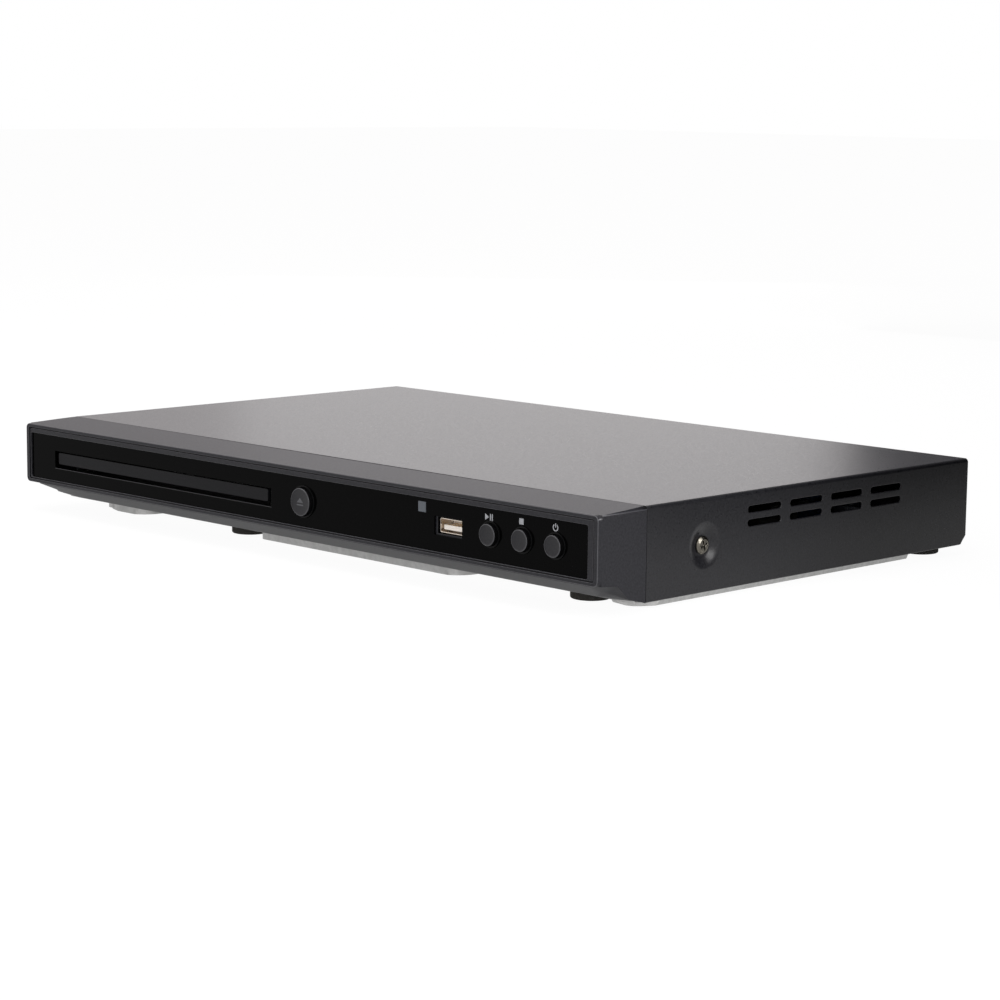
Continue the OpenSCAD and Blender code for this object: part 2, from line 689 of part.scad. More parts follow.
module disc_tray() color("#1f1f21") place() translate([tray_x, 0, 0]) difference() {
    union() {
        difference() {
            translate([0, 0, tray_floor_z]) linear_extrude(rim_z - tray_floor_z) tray_plan();
            // the recess for the disc, and the hollow under the rim
            translate([0, spindle_y, tray_floor_z + tray_floor_t]) cylinder(r = disc_r, h = 10);
            difference() {
                translate([0, 0, tray_floor_z - 1]) linear_extrude(rim_z - skin - tray_floor_z + 1)
                    translate([-tray_half + 1, tray_y + 1.6]) square([tray_w - 2, plate_end - tray_y - 3]);
                translate([0, spindle_y, 0]) cylinder(r = disc_r + 1.4, h = 40);
            }
        }
        // the floor dips for a small disc
        translate([0, spindle_y, tray_floor_z - 0.7]) cylinder(r = small_disc_r + 1.4, h = 0.71);
        // side rails and the front wall that the door clips to
        toothed_rail();
        box(-tray_half, -tray_half + rail_t, tray_y, tray_y + tray_len, tray_low_z, rim_z);
        box(-tray_half, tray_half, tray_y, tray_y + 1.6, tray_low_z + 0.4, rim_z);
        for (x = [-50, 0, 50]) box(x - 5, x + 5, tray_y, tray_y + 2.6, tray_low_z + 0.4, tray_floor_z);
        // ribs under the floor
        for (s = [-1, 1]) box(s * 30 - 0.7, s * 30 + 0.7, tray_y + 10, plate_end - 4, 23.4, tray_floor_z + 0.1);
        // four tabs that hold a disc when the player stands on its side
        for (a = [35, 145, 215, 325]) translate([0, spindle_y, rim_z - 0.8]) rotate(a)
            translate([disc_r - 1, -3, 0]) cube([2.4, 6, 0.8]);
    }
    translate([0, spindle_y, tray_floor_z + tray_floor_t - 0.7]) cylinder(r = small_disc_r, h = 5);
    // pickup window, open to the back so that the raised turntable can pass
    translate([0, spindle_y, 10]) cylinder(r = pickup_half, h = 30);
    box(-pickup_half, pickup_half, spindle_y, plate_end + 10, 10, 40);
    // drain slots and finger scallops in the recess
    for (s = [-1, 1]) translate([s * 42, spindle_y - 18, 10]) linear_extrude(30) rotate(s * -25) round_rect(4, 20, 1.99);
}

module tray_door() color("#29292b") place() {
    difference() {
        upright(tray_x, door_z, door_y, door_y + door_t) round_rect(door_w, door_h, 0.8);
        upright(tray_x, door_z, door_y + 1.2, door_y + door_t + 1) round_rect(door_w - 3, door_h - 2, 0.5);
    }
    for (x = [-60, -40, -20, 0, 20, 40, 60])
        box(tray_x + x - 0.7, tray_x + x + 0.7, door_y + 1, tray_y, door_z - 1.8, door_z + 1.8);
}

// ================================================================ loader

// the rack, the drive gear and the pulley gear share one phase: a tooth of the drive pinion points at
// the rack at rest, so the rack has a gap there, and the wheel below has a tooth towards the pulley gear
rack_phase = drive_gear_y + PI * rack_module / 2;

module drive_gear() color("#e9e6da") place() translate([drive_gear_x, drive_gear_y, 0]) difference() {
    union() {
        translate([0, 0, 16.7]) gear(drive_wheel_teeth, gear_module, 1.7, pulley_dir);
        translate([0, 0, 18.4]) gear(tray_pinion_teeth, rack_module, 5.9, 0);
        translate([0, 0, 15]) cylinder(r = 3, h = 1.75);
    }
    translate([0, 0, 10]) cylinder(r = bore_r, h = 20);
    for (a = [0 : 60 : 300]) rotate(a + 20) translate([6.2, 0, 10]) cylinder(r = 1.6, h = 8.39);
}

module pulley_gear() color("#e9e6da") place() translate([pulley_gear_x, pulley_gear_y, 0]) difference() {
    union() {
        translate([0, 0, 16.4]) gear(pulley_pinion_teeth, gear_module, 2.4,
            pulley_dir + 180 + 180 / pulley_pinion_teeth);
        translate([0, 0, 14.3]) cylinder(r = pulley_r, h = 2.11);
        for (z = [14.3, 16]) translate([0, 0, z]) cylinder(r = pulley_r + 1, h = 0.4);
    }
    translate([0, 0, 10]) cylinder(r = bore_r, h = 20);
    for (a = [0 : 72 : 288]) rotate(a) translate([6.6, 0, 10]) cylinder(r = 1.2, h = 10);
}

module motor_pulley() color("#c9a24a") place() translate([motor_x, motor_y, 0]) difference() {
    union() {
        translate([0, 0, 14.3]) cylinder(r = motor_pulley_r, h = 2.1);
        for (z = [14.3, 16]) translate([0, 0, z]) cylinder(r = motor_pulley_r + 0.8, h = 0.4);
        translate([0, 0, 10]) cylinder(r = 0.75, h = 6.6);
    }
}

// belt round the two pulleys: two arcs of unequal radius joined by straight runs
belt_dx = pulley_gear_x - motor_x;
belt_dy = pulley_gear_y - motor_y;
belt_len = norm([belt_dx, belt_dy]);
belt_dir = atan2(belt_dy, belt_dx);
module belt_outline(extra) {
    r1 = motor_pulley_r + belt_gap + extra;
    r2 = pulley_r + belt_gap + extra;
    lean = acos((r1 - r2) / belt_len);
    steps = 20;
    small_end = [for (i = [0 : steps]) r1 * turn([1, 0], lean + (360 - 2 * lean) * i / steps)];
    large_end = [for (i = [0 : steps]) [belt_len, 0] + r2 * turn([1, 0], -lean + 2 * lean * i / steps)];
    polygon(concat(small_end, large_end));
}

module drive_belt() color("#161616") place()
    translate([motor_x, motor_y, belt_z - belt_t / 2]) rotate(belt_dir) linear_extrude(belt_t) difference() {
        belt_outline(belt_t);
        belt_outline(0);
    }

module loading_motor() color("#9d9fa1") place() translate([motor_x, motor_y, 0]) difference() {
    union() {
        translate([0, 0, 5.7]) cylinder(r = motor_r, h = deck_floor_z - 5.9);
        translate([0, 0, deck_floor_z - 0.3]) cylinder(r = 3, h = 1.6);
    }
    translate([0, 0, 9]) cylinder(r = 0.85, h = 6);
}

module loader_frame() color("#dedbd0") place() translate([tray_x, 0, 0]) difference() {
    union() {
        // side walls, guide walls and ledges for the tray
        both_sides() {
            box(loader_half - 1.8, loader_half, loader_y, loader_end, loader_low, guide_top);
            box(guide_half, guide_half + 1.5, loader_y, loader_end, 18, guide_top);
            box(guide_half, loader_half, loader_y, loader_end, 18, 19.5);
            for (part = [[loader_y, drive_gear_y - 12], [drive_gear_y + 12, loader_end]])
                box(guide_half - 6, guide_half + 0.5, part[0], part[1], tray_low_z - 2.2, tray_low_z - 0.4);
            box(guide_half - 6, guide_half - 4.6, drive_gear_y + 12, loader_end, 12, tray_low_z - 0.4);
            // lugs that keep the tray down
            for (y = [loader_y, 70, 120, 170])
                box(guide_half - 4, guide_half + 0.5, y, y + 8, rim_z + 0.5, guide_top);
            // feet
            for (y = [30, 192]) {
                box(58, loader_half, y - 4, y + 4, loader_low, loader_low + 2);
                box(loader_half - 4, loader_half, y - 4, y + 4, loader_low, 19);
            }
            // supports of the bridge
            for (y = bridge_screw_y) rod_along_z(bridge_screw_x, y, 3, 18.5, bridge_z);
        }
        box(-loader_half, loader_half, loader_y, loader_y + 1.4, loader_low, tray_low_z - 0.8);
        box(-loader_half, loader_half, loader_end - 1.8, loader_end, loader_low, guide_top);
        // floor under the gears, and the wall that the lift slider runs on
        box(-loader_half, loader_half, loader_y, slider_y - 0.5, deck_floor_z, deck_floor_z + deck_floor_t);
        box(-40, 24, slider_y - 1.9, slider_y - 0.5, loader_low, deck_floor_z + 0.1);
        for (x = slider_pins) rod_along_y(x, slider_pin_z, pin_r, slider_y - 1, slider_y + slider_t + 0.6);
        // floor and ribs at the back
        box(-loader_half, loader_half, 172, loader_end, loader_low + 3, loader_low + 4.6);
        for (x = [-40, 0, 40]) box(x - 0.8, x + 0.8, 172, loader_end, loader_low, 18);
        // bearing ears of the deck
        for (x = [[deck_left - 5.9, deck_left - 3.4, -loader_half + 1], [deck_right + 3.4, deck_right + 5.9, loader_half - 1]]) {
            box(x[0], x[1], pivot_y - 4, pivot_y + 4, 7, 20.4);
            box(min(x[0], x[2]), max(x[1], x[2]), pivot_y - 4, pivot_y + 4, 7, 8.5);
        }
        // gear pins
        rod_along_z(drive_gear_x - tray_x, drive_gear_y, 3, deck_floor_z, 14.8);
        rod_along_z(drive_gear_x - tray_x, drive_gear_y, pin_r, deck_floor_z, 24.2);
        rod_along_z(pulley_gear_x - tray_x, pulley_gear_y, pin_r, deck_floor_z, 19.2);
    }
    rod_along_z(motor_x - tray_x, motor_y, 3.2, 10, 15);
    rod_along_x(pivot_y, pivot_z, bore_r, deck_left - 7, deck_right + 7);
    both_sides() {
        for (y = [30, 192]) rod_along_z(68, y, 1.6, 0, 9);
        rod_along_z(68, 192, 3.2, loader_low + 2, 12);
        for (y = bridge_screw_y) rod_along_z(bridge_screw_x, y, 1.05, 24, 32);
        // openings that lighten the walls
        for (y = [62, 94, 126, 158])
            translate([loader_half + 1, y, 12]) rotate([90, 0, -90]) linear_extrude(4) round_rect(22, 5, 2.4);
    }
}

module loader_screws() color("#8a8a8c") place() translate([tray_x, 0, 0]) {
    for (p = loader_posts) translate([p[0], p[1], loader_low + 2]) screw(2.8, 1.8, 1.2, 6);
    both_sides() for (y = bridge_screw_y)
        translate([bridge_screw_x, y, bridge_z + bridge_t]) screw(2.2, 1.5, 1, 6);
}

module clamp_bridge() color("#a9abad") place() translate([tray_x, 0, 0]) difference() {
    union() {
        translate([0, spindle_y + 2, bridge_z]) linear_extrude(bridge_t) difference() {
            round_rect(2 * loader_half, 44, 4);
            for (s = [-1, 1]) translate([s * 42, 0]) round_rect(30, 24, 6);
        }
        // folded edges that stiffen the bridge
        for (y = [spindle_y - 20, spindle_y + 22.8])
            box(-60, 60, y, y + 1.2, bridge_z + 0.5, bridge_z + 4);
        // raised ring round the puck
        translate([0, spindle_y, bridge_z + 0.5]) cylinder(r = 19.5, h = 1.5);
    }
    translate([0, spindle_y, 20]) cylinder(r = 14.5, h = 20);
    translate([0, spindle_y, bridge_z + bridge_t]) cylinder(r = 18, h = 5);
    both_sides() for (y = bridge_screw_y) rod_along_z(bridge_screw_x, y, 1.3, 20, 40);
}

// ================================================================ deck

module clamp_puck() color("#2a2a2c") place() translate([tray_x, spindle_y, 0]) difference() {
    union() {
        translate([0, 0, 27.3]) cylinder(r = 13, h = 6);
        translate([0, 0, bridge_z + bridge_t + 0.4]) cylinder(r = 16.5, h = 1.2);
        translate([0, 0, 33.2]) cylinder(r1 = 13, r2 = 9, h = 1.4);
    }
    translate([0, 0, 27]) cylinder(r = 8.6, h = 2.6);
    for (a = [0 : 60 : 300]) rotate(a) translate([10.8, 0, 32.8]) cylinder(r = 1.5, h = 3);
}

module turntable() color("#38383a") place() translate([tray_x, spindle_y, 0]) {
    difference() {
        translate([0, 0, 25.2]) cylinder(r = 15, h = 1.8);
        for (a = [0 : 60 : 300]) rotate(a) translate([11, 0, 20]) cylinder(r = 1.6, h = 10);
    }
    // cone that centres the disc
    translate([0, 0, 26.9]) cylinder(r1 = 7.45, r2 = 6.9, h = 1.3);
    translate([0, 0, 28.2]) cylinder(r1 = 6.9, r2 = 4.5, h = 1);
    translate([0, 0, 16.6]) cylinder(r = 11, h = 7);
    translate([0, 0, 23.5]) cylinder(r = 4, h = 2);
    translate([0, 0, 10]) cylinder(r = 1, h = 8);
}

module spindle_motor() color("#b3b5b7") place() translate([tray_x, spindle_y, 0]) difference() {
    union() {
        translate([0, 0, 9.5]) cylinder(r = 6, h = 6.7);
        translate([0, 0, deck_z - 1.2]) linear_extrude(1.2) round_rect(28, 26, 4);
    }
    translate([0, 0, 9.9]) cylinder(r = 1.05, h = 10);
}

module traverse_frame() color("#3b3d40") place() difference() {
    union() {
        translate([tray_x, 0, deck_z]) linear_extrude(deck_t) difference() {
            translate([(deck_left + deck_right) / 2, (deck_front + deck_back) / 2])
                round_rect(deck_right - deck_left, deck_back - deck_front, 3);
            translate([0, spindle_y]) circle(10.5);
            translate([0, (80 + 147) / 2]) square([61.4, 67], center = true);
        }
        // folded front flange with the pin that rides in the slider's slot
        box(tray_x - 24, tray_x + 12, deck_front, deck_front + 1.2, 11.2, deck_z + 0.5);
        rod_along_y(cam_pin_x, cam_pin_z, cam_pin_r, slider_y - 0.1, deck_front + 1);
        // side flanges with the pivot pins
        for (x = [deck_left + 0.3, deck_right - 1.5])
            box(tray_x + x, tray_x + x + 1.2, 60, 164, 10.5, deck_z + 0.5);
        rod_along_x(pivot_y, pivot_z, pin_r, tray_x + deck_right - 1.4, tray_x + deck_right + 6);
        rod_along_x(pivot_y, pivot_z, pin_r, tray_x + deck_left - 6, tray_x + deck_left + 1.4);
        // blocks that carry the rods
        for (s = [-1, 1], y = [rod_y[0], rod_y[1] - 4])
            box(tray_x + s * rod_x - 3, tray_x + s * rod_x + 3, y, y + 4, deck_z + 0.5, rod_z + 2.4);
        rod_along_z(sled_gear_x, sled_gear_y, pin_r, deck_z, 21.2);
    }
    for (s = [-1, 1]) rod_along_y(tray_x + s * rod_x, rod_z, 1.52, rod_y[0] - 1, rod_y[1] + 1);
    rod_along_z(sled_gear_x, sled_motor_y, 2.6, 12, 18);
}

module guide_rods() color("#d2d4d6") place()
    for (s = [-1, 1]) rod_along_y(tray_x + s * rod_x, rod_z, 1.5, rod_y[0], rod_y[1]);

module optical_pickup() color("#4a4c50") place() translate([tray_x, 0, 0]) difference() {
    union() {
        difference() {
            translate([0, pickup_y + pickup_len / 2, 12.6]) linear_extrude(8.9)
                round_rect(2 * pickup_half_w, pickup_len, 2);
            // waist between the rods
            for (s = [-1, 1]) translate([s * 14, pickup_y - 2, 10]) cylinder(r = 5, h = 20);
        }
        box(-10, 10, pickup_y + 3, pickup_y + 18, 21.4, 22.9);
        rod_along_z(0, lens_y, 4.4, 22.8, 23.6);
        // arm with the rack
        box(pickup_half_w - 1, sled_rack_line - 0.7, sled_gear_y - 8, sled_gear_y + 4, 18.6, 20.6);
        box(33.4, sled_rack_line - 0.6, sled_gear_y - sled_travel - 6, sled_gear_y + 4.6, 18.6, 20.6);
        translate([sled_rack_line, 0, 18.6]) linear_extrude(2) mirror([1, 0])
            rack_teeth(gear_module, sled_gear_y - sled_travel - 5, sled_gear_y + 4,
                sled_gear_y + PI * gear_module / 2);
    }
    // round bearing on the main rod, open fork on the other
    rod_along_y(rod_x, rod_z, bore_r, pickup_y - 1, pickup_y + pickup_len + 1);
    box(-pickup_half_w - 1, -rod_x + 1.8, pickup_y - 1, pickup_y + pickup_len + 1, rod_z - 1.55, rod_z + 1.55);
}

module objective_lens() color([0.35, 0.4, 0.6, 0.8]) place() translate([tray_x, lens_y, 23.6]) intersection() {
    cylinder(r = 2.6, h = 2);
    translate([0, 0, -2.4]) sphere(r = 3.6);
}

module sled_gear() color("#e9e6da") place() translate([sled_gear_x, sled_gear_y, 0]) difference() {
    union() {
        translate([0, 0, 16.6]) gear(sled_wheel_teeth, gear_module, 1.6, 90);
        translate([0, 0, 18.2]) gear(sled_pinion_teeth, gear_module, 2.7, 180);
    }
    translate([0, 0, 10]) cylinder(r = bore_r, h = 20);
}

module sled_motor_gear() color("#e9e6da") place() translate([sled_gear_x, sled_motor_y, 0]) {
    translate([0, 0, 16.5]) gear(sled_motor_teeth, gear_module, 1.7, 270 + 180 / sled_motor_teeth);
    translate([0, 0, 10]) cylinder(r = 0.75, h = 7);
}

module sled_motor() color("#9d9fa1") place() translate([sled_gear_x, sled_motor_y, 0]) difference() {
    union() {
        translate([0, 0, 5]) cylinder(r = 7.8, h = deck_z - 5.05);
        translate([0, 0, deck_z - 0.1]) cylinder(r = 2.5, h = 1.2);
    }
    translate([0, 0, 9]) cylinder(r = 0.85, h = 10);
}

// slider that lifts the deck: a slanted slot for the deck's pin and two level slots for the guide pins
module lift_slider() color("#e9e6da") place() difference() {
    union() {
        box(cam_pin_x - 37, cam_pin_x + 23, slider_y, slider_y + slider_t, slider_low, 16.4);
        box(cam_pin_x - 24, cam_pin_x - 12, slider_y, slider_y + slider_t, slider_low, 18);
        rod_along_z(cam_pin_x - 18, slider_y + slider_t / 2, 0.85, 17, 23.4);
    }
    upright(0, 0, slider_y - 1, slider_y + slider_t + 1) {
        slanted_slot((pivot_y - slider_y) * sin(deck_tilt));
        for (x = slider_pins) translate([tray_x + x - lift_travel / 2, slider_pin_z])
            round_rect(lift_travel + 2 * pin_r + 0.4, 2 * pin_r + 0.4, pin_r + 0.19);
    }
}

// the slider moves towards +x by lift_travel while the pin drops, so the slot rises towards +x
module slanted_slot(drop) {
    r = cam_pin_r + 0.35;
    len = norm([lift_travel, drop]);
    a = atan2(drop, lift_travel);
    translate([cam_pin_x - lift_travel, cam_pin_z - drop]) rotate(a) {
        circle(r);
        translate([len, 0]) circle(r);
        translate([0, -r]) square([len, 2 * r]);
    }
}

// ================================================================ boards and jacks

module board(x0, x1, y0, y1, posts) difference() {
    box(x0, x1, y0, y1, board_z, board_z + board_t);
    for (p = posts) rod_along_z(p[0], p[1], 1.5, 0, 20);
}

// the main board has a tail behind the loader for the wide socket
module main_board() color("#2f6b3c") place() difference() {
    union() {
        board(main_x[0], main_x[1], main_y[0], main_y[1], []);
        box(-70, main_x[0] + 1, 203, main_y[1], board_z, board_top);
    }
    for (p = main_posts) rod_along_z(p[0], p[1], 1.5, 0, 20);
}

module power_board() color("#b08d57") place()
    board(power_x0, power_x1, power_y0, power_y1, power_posts);

module chip(x, y, w, d) {
    box(x - w / 2, x + w / 2, y - d / 2, y + d / 2, board_top, board_top + 1.6);
    for (i = [-4 : 4]) {
        box(x + i * w / 10 - 0.2, x + i * w / 10 + 0.2, y - d / 2 - 1.2, y + d / 2 + 1.2,
            board_top, board_top + 0.5);
    }
}

module main_chips() color("#1b1b1d") place() {
    chip(56, 140, 22, 22);
    chip(30, 142, 10, 18);
    chip(84, 166, 8, 12);
    chip(30, 176, 10, 6);
}

module can(x, y, r, h) {
    rod_along_z(x, y, r, board_top, board_top + h);
    difference() {
        rod_along_z(x, y, r + 0.25, board_top + 0.4, board_top + h - 1.4);
        rod_along_z(x, y, r - 1, board_top - 1, board_top + h);
    }
}

module main_capacitors() color("#25324a") place()
    for (c = [[84, 130, 4, 12], [96, 142, 3.2, 11], [84, 146, 3.2, 11], [20, 120, 2.5, 7],
        [14, 160, 2.5, 7], [96, 176, 4, 12]]) can(c[0], c[1], c[2], c[3]);

module board_screws() color("#8a8a8c") place() {
    for (p = concat(main_posts, power_posts))
        translate([p[0], p[1], board_top]) screw(2.7, 1.7, 1.2, 6);
    for (p = board_posts)
        translate([p[0], board_y + board_t, p[1]]) rotate([-90, 0, 0]) screw(2.4, 1.5, 0.95, 5);
}

module transformer() color("#c9b458") place() translate([149, 132, board_top]) {
    difference() {
        translate([-14, -12, 4]) cube([28, 24, 15]);
        for (s = [-1, 1]) translate([s * 14, 0, 11.5]) cube([12, 30, 7], center = true);
    }
    translate([-13, -9, 0]) cube([26, 18, 4.05]);
}

module power_capacitor() color("#22242a") place() {
    can(136, 176, 8, 24);
    can(158, 100, 4, 16);
    can(146, 96, 4, 16);
}

module heatsink() color("#9fa1a3") place() translate([124, 104, board_top]) {
    cube([1.6, 26, 20]);
    for (i = [0 : 4]) translate([0, 2 + i * 5.2, 0]) cube([7, 1.2, 20]);
}

module mains_choke() color("#3b5f8a") place() translate([160, 176, board_top]) difference() {
    union() {
        cylinder(r = 7, h = 14);
        translate([-8, -8, 0]) cube([16, 16, 2]);
        translate([0, 0, 12]) cylinder(r = 8, h = 2);
    }
    translate([0, 0, 8]) cylinder(r = 3, h = 8);
}

module rca_block() color("#1e1e20") place() {
    difference() {
        union() {
            box(rca_x[0] - 6.5, rca_x[2] + 6.5, rear_y - rear_sheet - 12, rear_y - rear_sheet, board_top, 29);
            box(rca_x[3] - 6.5, rca_x[3] + 6.5, rear_y - rear_sheet - 12, rear_y - rear_sheet, board_top, 27);
            box(rca_x[0] + 9, rca_x[2] - 9, rear_y - rear_sheet - 6, rear_y - rear_sheet, 28.5, 32);
        }
        for (x = rca_x) rod_along_y(x, jack_z, rca_r - 0.2, rear_y - 8, rear_y + 1);
        rod_along_y(rca_screw_x, rca_screw_z, 0.9, rear_y - 6, rear_y + 1);
    }
}

module rca_rings() color("#cfcbc0") place() for (x = rca_x) difference() {
    union() {
        rod_along_y(x, jack_z, rca_r - 0.25, rear_y - 8, rear_y + 0.1);
        rod_along_y(x, jack_z, rca_r, rear_y, rear_y + barrel_len);
    }
    rod_along_y(x, jack_z, rca_r - 0.5, rear_y - 6, rear_y + barrel_len + 1);
}

module rca_insert(x) difference() {
    rod_along_y(x, jack_z, rca_r - 0.55, rear_y - 6, rear_y + barrel_len - 0.4);
    rod_along_y(x, jack_z, 1.65, rear_y - 3, rear_y + barrel_len + 1);
}

module rca_insert_video() color("#d8b21c") place() rca_insert(rca_x[2]);
module rca_insert_left() color("#e6e6e2") place() rca_insert(rca_x[1]);
module rca_insert_right() color("#b3241e") place() {
    rca_insert(rca_x[0]);
    rca_insert(rca_x[3]);
}

module hdmi_socket() color("#c5c7c9") place() difference() {
    upright(hdmi_x, hdmi_z, rear_y - 12, rear_y + 0.6) round_rect(15, 5.6, 0.8);
    difference() {
        upright(hdmi_x, hdmi_z, rear_y - 9, rear_y + 2) polygon([[-7, 2.3], [7, 2.3], [7, -0.6], [5.2, -2.3],
            [-5.2, -2.3], [-7, -0.6]]);
        box(hdmi_x - 5.6, hdmi_x + 5.6, rear_y - 10, rear_y - 0.4, hdmi_z - 0.4, hdmi_z + 0.8);
    }
}

// slanted-end outline of the 21-way socket
module scart_outline(extra) {
    w = 24 + extra;
    h = 7.2 + extra;
    polygon([[-w, h], [w, h], [w, -2], [w - 5, -h], [-w, -h]]);
}

module scart_socket() color("#1a1a1c") place() difference() {
    union() {
        upright(scart_x, jack_z, rear_y - 14, rear_y + 1.2) scart_outline(0);
        box(scart_x - 25, scart_x + 25, rear_y - rear_sheet - 13, rear_y - rear_sheet, 10.8, jack_z + 8);
    }
    for (i = [0 : 19]) upright(scart_x - 18 + i * 1.9, jack_z + (i % 2 == 0 ? 3 : -3), rear_y - 10, rear_y + 2)
        square([0.9, 3.2], center = true);
}

// two-pin inlet with a waisted recess
module inlet_recess() {
    for (s = [-1, 1]) translate([s * 4.2, 0]) circle(4.3);
    square([8.4, 5.6], center = true);
}

module mains_inlet() color("#1a1a1c") place() difference() {
    union() {
        upright(inlet_x, 18, rear_y - 14, rear_y) round_rect(20.6, 13, 2.8);
        upright(inlet_x, 18, rear_y, rear_y + 1.6) round_rect(24, 16.4, 4);
        box(inlet_x - 9, inlet_x + 9, rear_y - 14, rear_y - 2, board_top, 13);
    }
    upright(inlet_x, 18, rear_y - 11, rear_y + 3) inlet_recess();
}

module mains_pins() color("#d0d0cc") place() for (s = [-1, 1])
    rod_along_y(inlet_x + s * 4.3, 18, 1.2, rear_y - 11, rear_y - 1.5);

// flat cables, each drawn as a folded strip
module strip(points, t) for (i = [0 : len(points) - 2]) {
    a = points[i];
    b = points[i + 1];
    d = (b - a) / norm(b - a);
    n = [-d[1], d[0]] * t / 2;
    polygon([a + n - d * t / 2, b + n + d * t / 2, b - n + d * t / 2, a - n - d * t / 2]);
}

module front_ribbon() color("#d8d4c8") place() {
    along_x(78, 92) strip([[17.5, 24], [21, 24], [30, 20], [93, 20], [96, 16], [97.6, 12.8]], 0.5);
    box(77, 93, board_y + board_t, 17.4, 21.8, 26.2);
    box(77, 93, 97.5, 102, board_top, 14.4);
}

// runs under the loader to the pickup's loop
module deck_ribbon() color("#d8d4c8") place() {
    upright(0, 0, 126, 142)
        strip([[4.6, 12.6], [0, 12.6], [-3.5, 9], [-3.5, 4.2], [-88, 4.2], [-92, 5.4], [-88, 6.8], [-74, 6.8]], 0.5);
    box(4.7, 9.5, 125, 143, board_top, 14.4);
}

module power_leads() color("#8c1d18") place() {
    for (i = [0 : 3]) rod_along_x(150 + i * 2.6, board_top + 3, 0.8, 106, 120);
    for (x = [100.1, 120]) box(x, x + 5.9, 148, 160, board_top, board_top + 5.4);
}

top_cover();
bottom_chassis();
rear_panel();
front_bezel();
front_window();
ir_window();
rubber_feet();
side_screws();
rear_screws();
disc_tray();
tray_door();
open_close_button();
play_button();
stop_button();
power_button();
usb_shell();
usb_tongue();
front_board();
tact_switches();
ir_receiver();
loader_frame();
clamp_bridge();
clamp_puck();
loader_screws();
loading_motor();
motor_pulley();
drive_belt();
pulley_gear();
drive_gear();
lift_slider();
traverse_frame();
guide_rods();
spindle_motor();
turntable();
optical_pickup();
objective_lens();
sled_motor();
sled_motor_gear();
sled_gear();
main_board();
main_chips();
main_capacitors();
board_screws();
power_board();
transformer();
power_capacitor();
heatsink();
mains_choke();
rca_block();
rca_rings();
rca_insert_video();
rca_insert_left();
rca_insert_right();
hdmi_socket();
scart_socket();
mains_inlet();
mains_pins();
front_ribbon();
deck_ribbon();
power_leads();
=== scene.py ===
# %% [markdown]
# # A slim disc player, dressed over its solid model
# The solid model already holds every working piece of the player at its true place and size. This notebook
# only gives it its looks. We load the solids, set a camera and a light tent, make one material for each real
# finish and a few that paint shade and highlights, and then rebuild the few pieces whose soft edges, print or
# pressed shapes a plain solid can't show.

import json
import math

import bmesh
import bpy
from mathutils import Matrix, Vector


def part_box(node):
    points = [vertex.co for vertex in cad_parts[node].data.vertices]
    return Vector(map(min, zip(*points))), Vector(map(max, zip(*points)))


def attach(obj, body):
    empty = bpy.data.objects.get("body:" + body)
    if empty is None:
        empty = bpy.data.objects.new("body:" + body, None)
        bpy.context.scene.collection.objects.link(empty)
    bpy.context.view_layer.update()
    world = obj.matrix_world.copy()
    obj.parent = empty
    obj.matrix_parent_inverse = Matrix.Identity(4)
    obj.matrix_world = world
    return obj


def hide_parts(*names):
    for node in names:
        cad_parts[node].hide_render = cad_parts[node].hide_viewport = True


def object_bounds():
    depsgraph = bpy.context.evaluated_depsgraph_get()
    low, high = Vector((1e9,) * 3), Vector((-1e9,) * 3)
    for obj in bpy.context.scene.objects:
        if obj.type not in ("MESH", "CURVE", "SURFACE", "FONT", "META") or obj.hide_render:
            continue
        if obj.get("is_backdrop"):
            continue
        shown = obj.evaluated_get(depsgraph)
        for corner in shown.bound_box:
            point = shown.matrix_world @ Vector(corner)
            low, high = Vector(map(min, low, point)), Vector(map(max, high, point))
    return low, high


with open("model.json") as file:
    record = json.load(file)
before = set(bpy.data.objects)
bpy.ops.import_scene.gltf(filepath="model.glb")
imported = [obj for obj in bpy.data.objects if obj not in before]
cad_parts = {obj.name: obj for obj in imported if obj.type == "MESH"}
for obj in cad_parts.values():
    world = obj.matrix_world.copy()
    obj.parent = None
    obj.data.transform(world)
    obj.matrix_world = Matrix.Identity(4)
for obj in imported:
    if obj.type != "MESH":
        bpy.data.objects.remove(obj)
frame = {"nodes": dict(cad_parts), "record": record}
solids = frame["nodes"]
cad_low, cad_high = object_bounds()
MM = 0.001
rides_on = {node: body for body, nodes in frame["record"]["behaviour"]["bodies"].items() for node in nodes}
slot_of = {part["node"]: part["material_slot"] for part in frame["record"]["subparts"]}
print(len(solids), "solid pieces, box in mm:", [round(v / MM, 1) for v in cad_high - cad_low])

# %% [markdown]
# ## Camera
# A product shot is taken from a little over a metre away with a long lens, so that the edges of the
# case stay nearly parallel. The camera stands at 45 degrees to the front and under 9 degrees above
# the shelf. We build its axes by hand, because a small roll of the camera is easiest to add there.

# %% Place the camera
AZIMUTH, ELEVATION, ROLL = math.radians(45.152), math.radians(8.682), math.radians(0.643)
DISTANCE = 1.03737
LENS = 98.374
aim = Vector((0.128845, -0.1178, 0.040159))

back = Vector((math.sin(AZIMUTH) * math.cos(ELEVATION), -math.cos(AZIMUTH) * math.cos(ELEVATION),
               math.sin(ELEVATION)))
level_right = (-back).cross(Vector((0, 0, 1))).normalized()
level_up = level_right.cross(-back)
right = math.cos(ROLL) * level_right + math.sin(ROLL) * level_up
up = -math.sin(ROLL) * level_right + math.cos(ROLL) * level_up

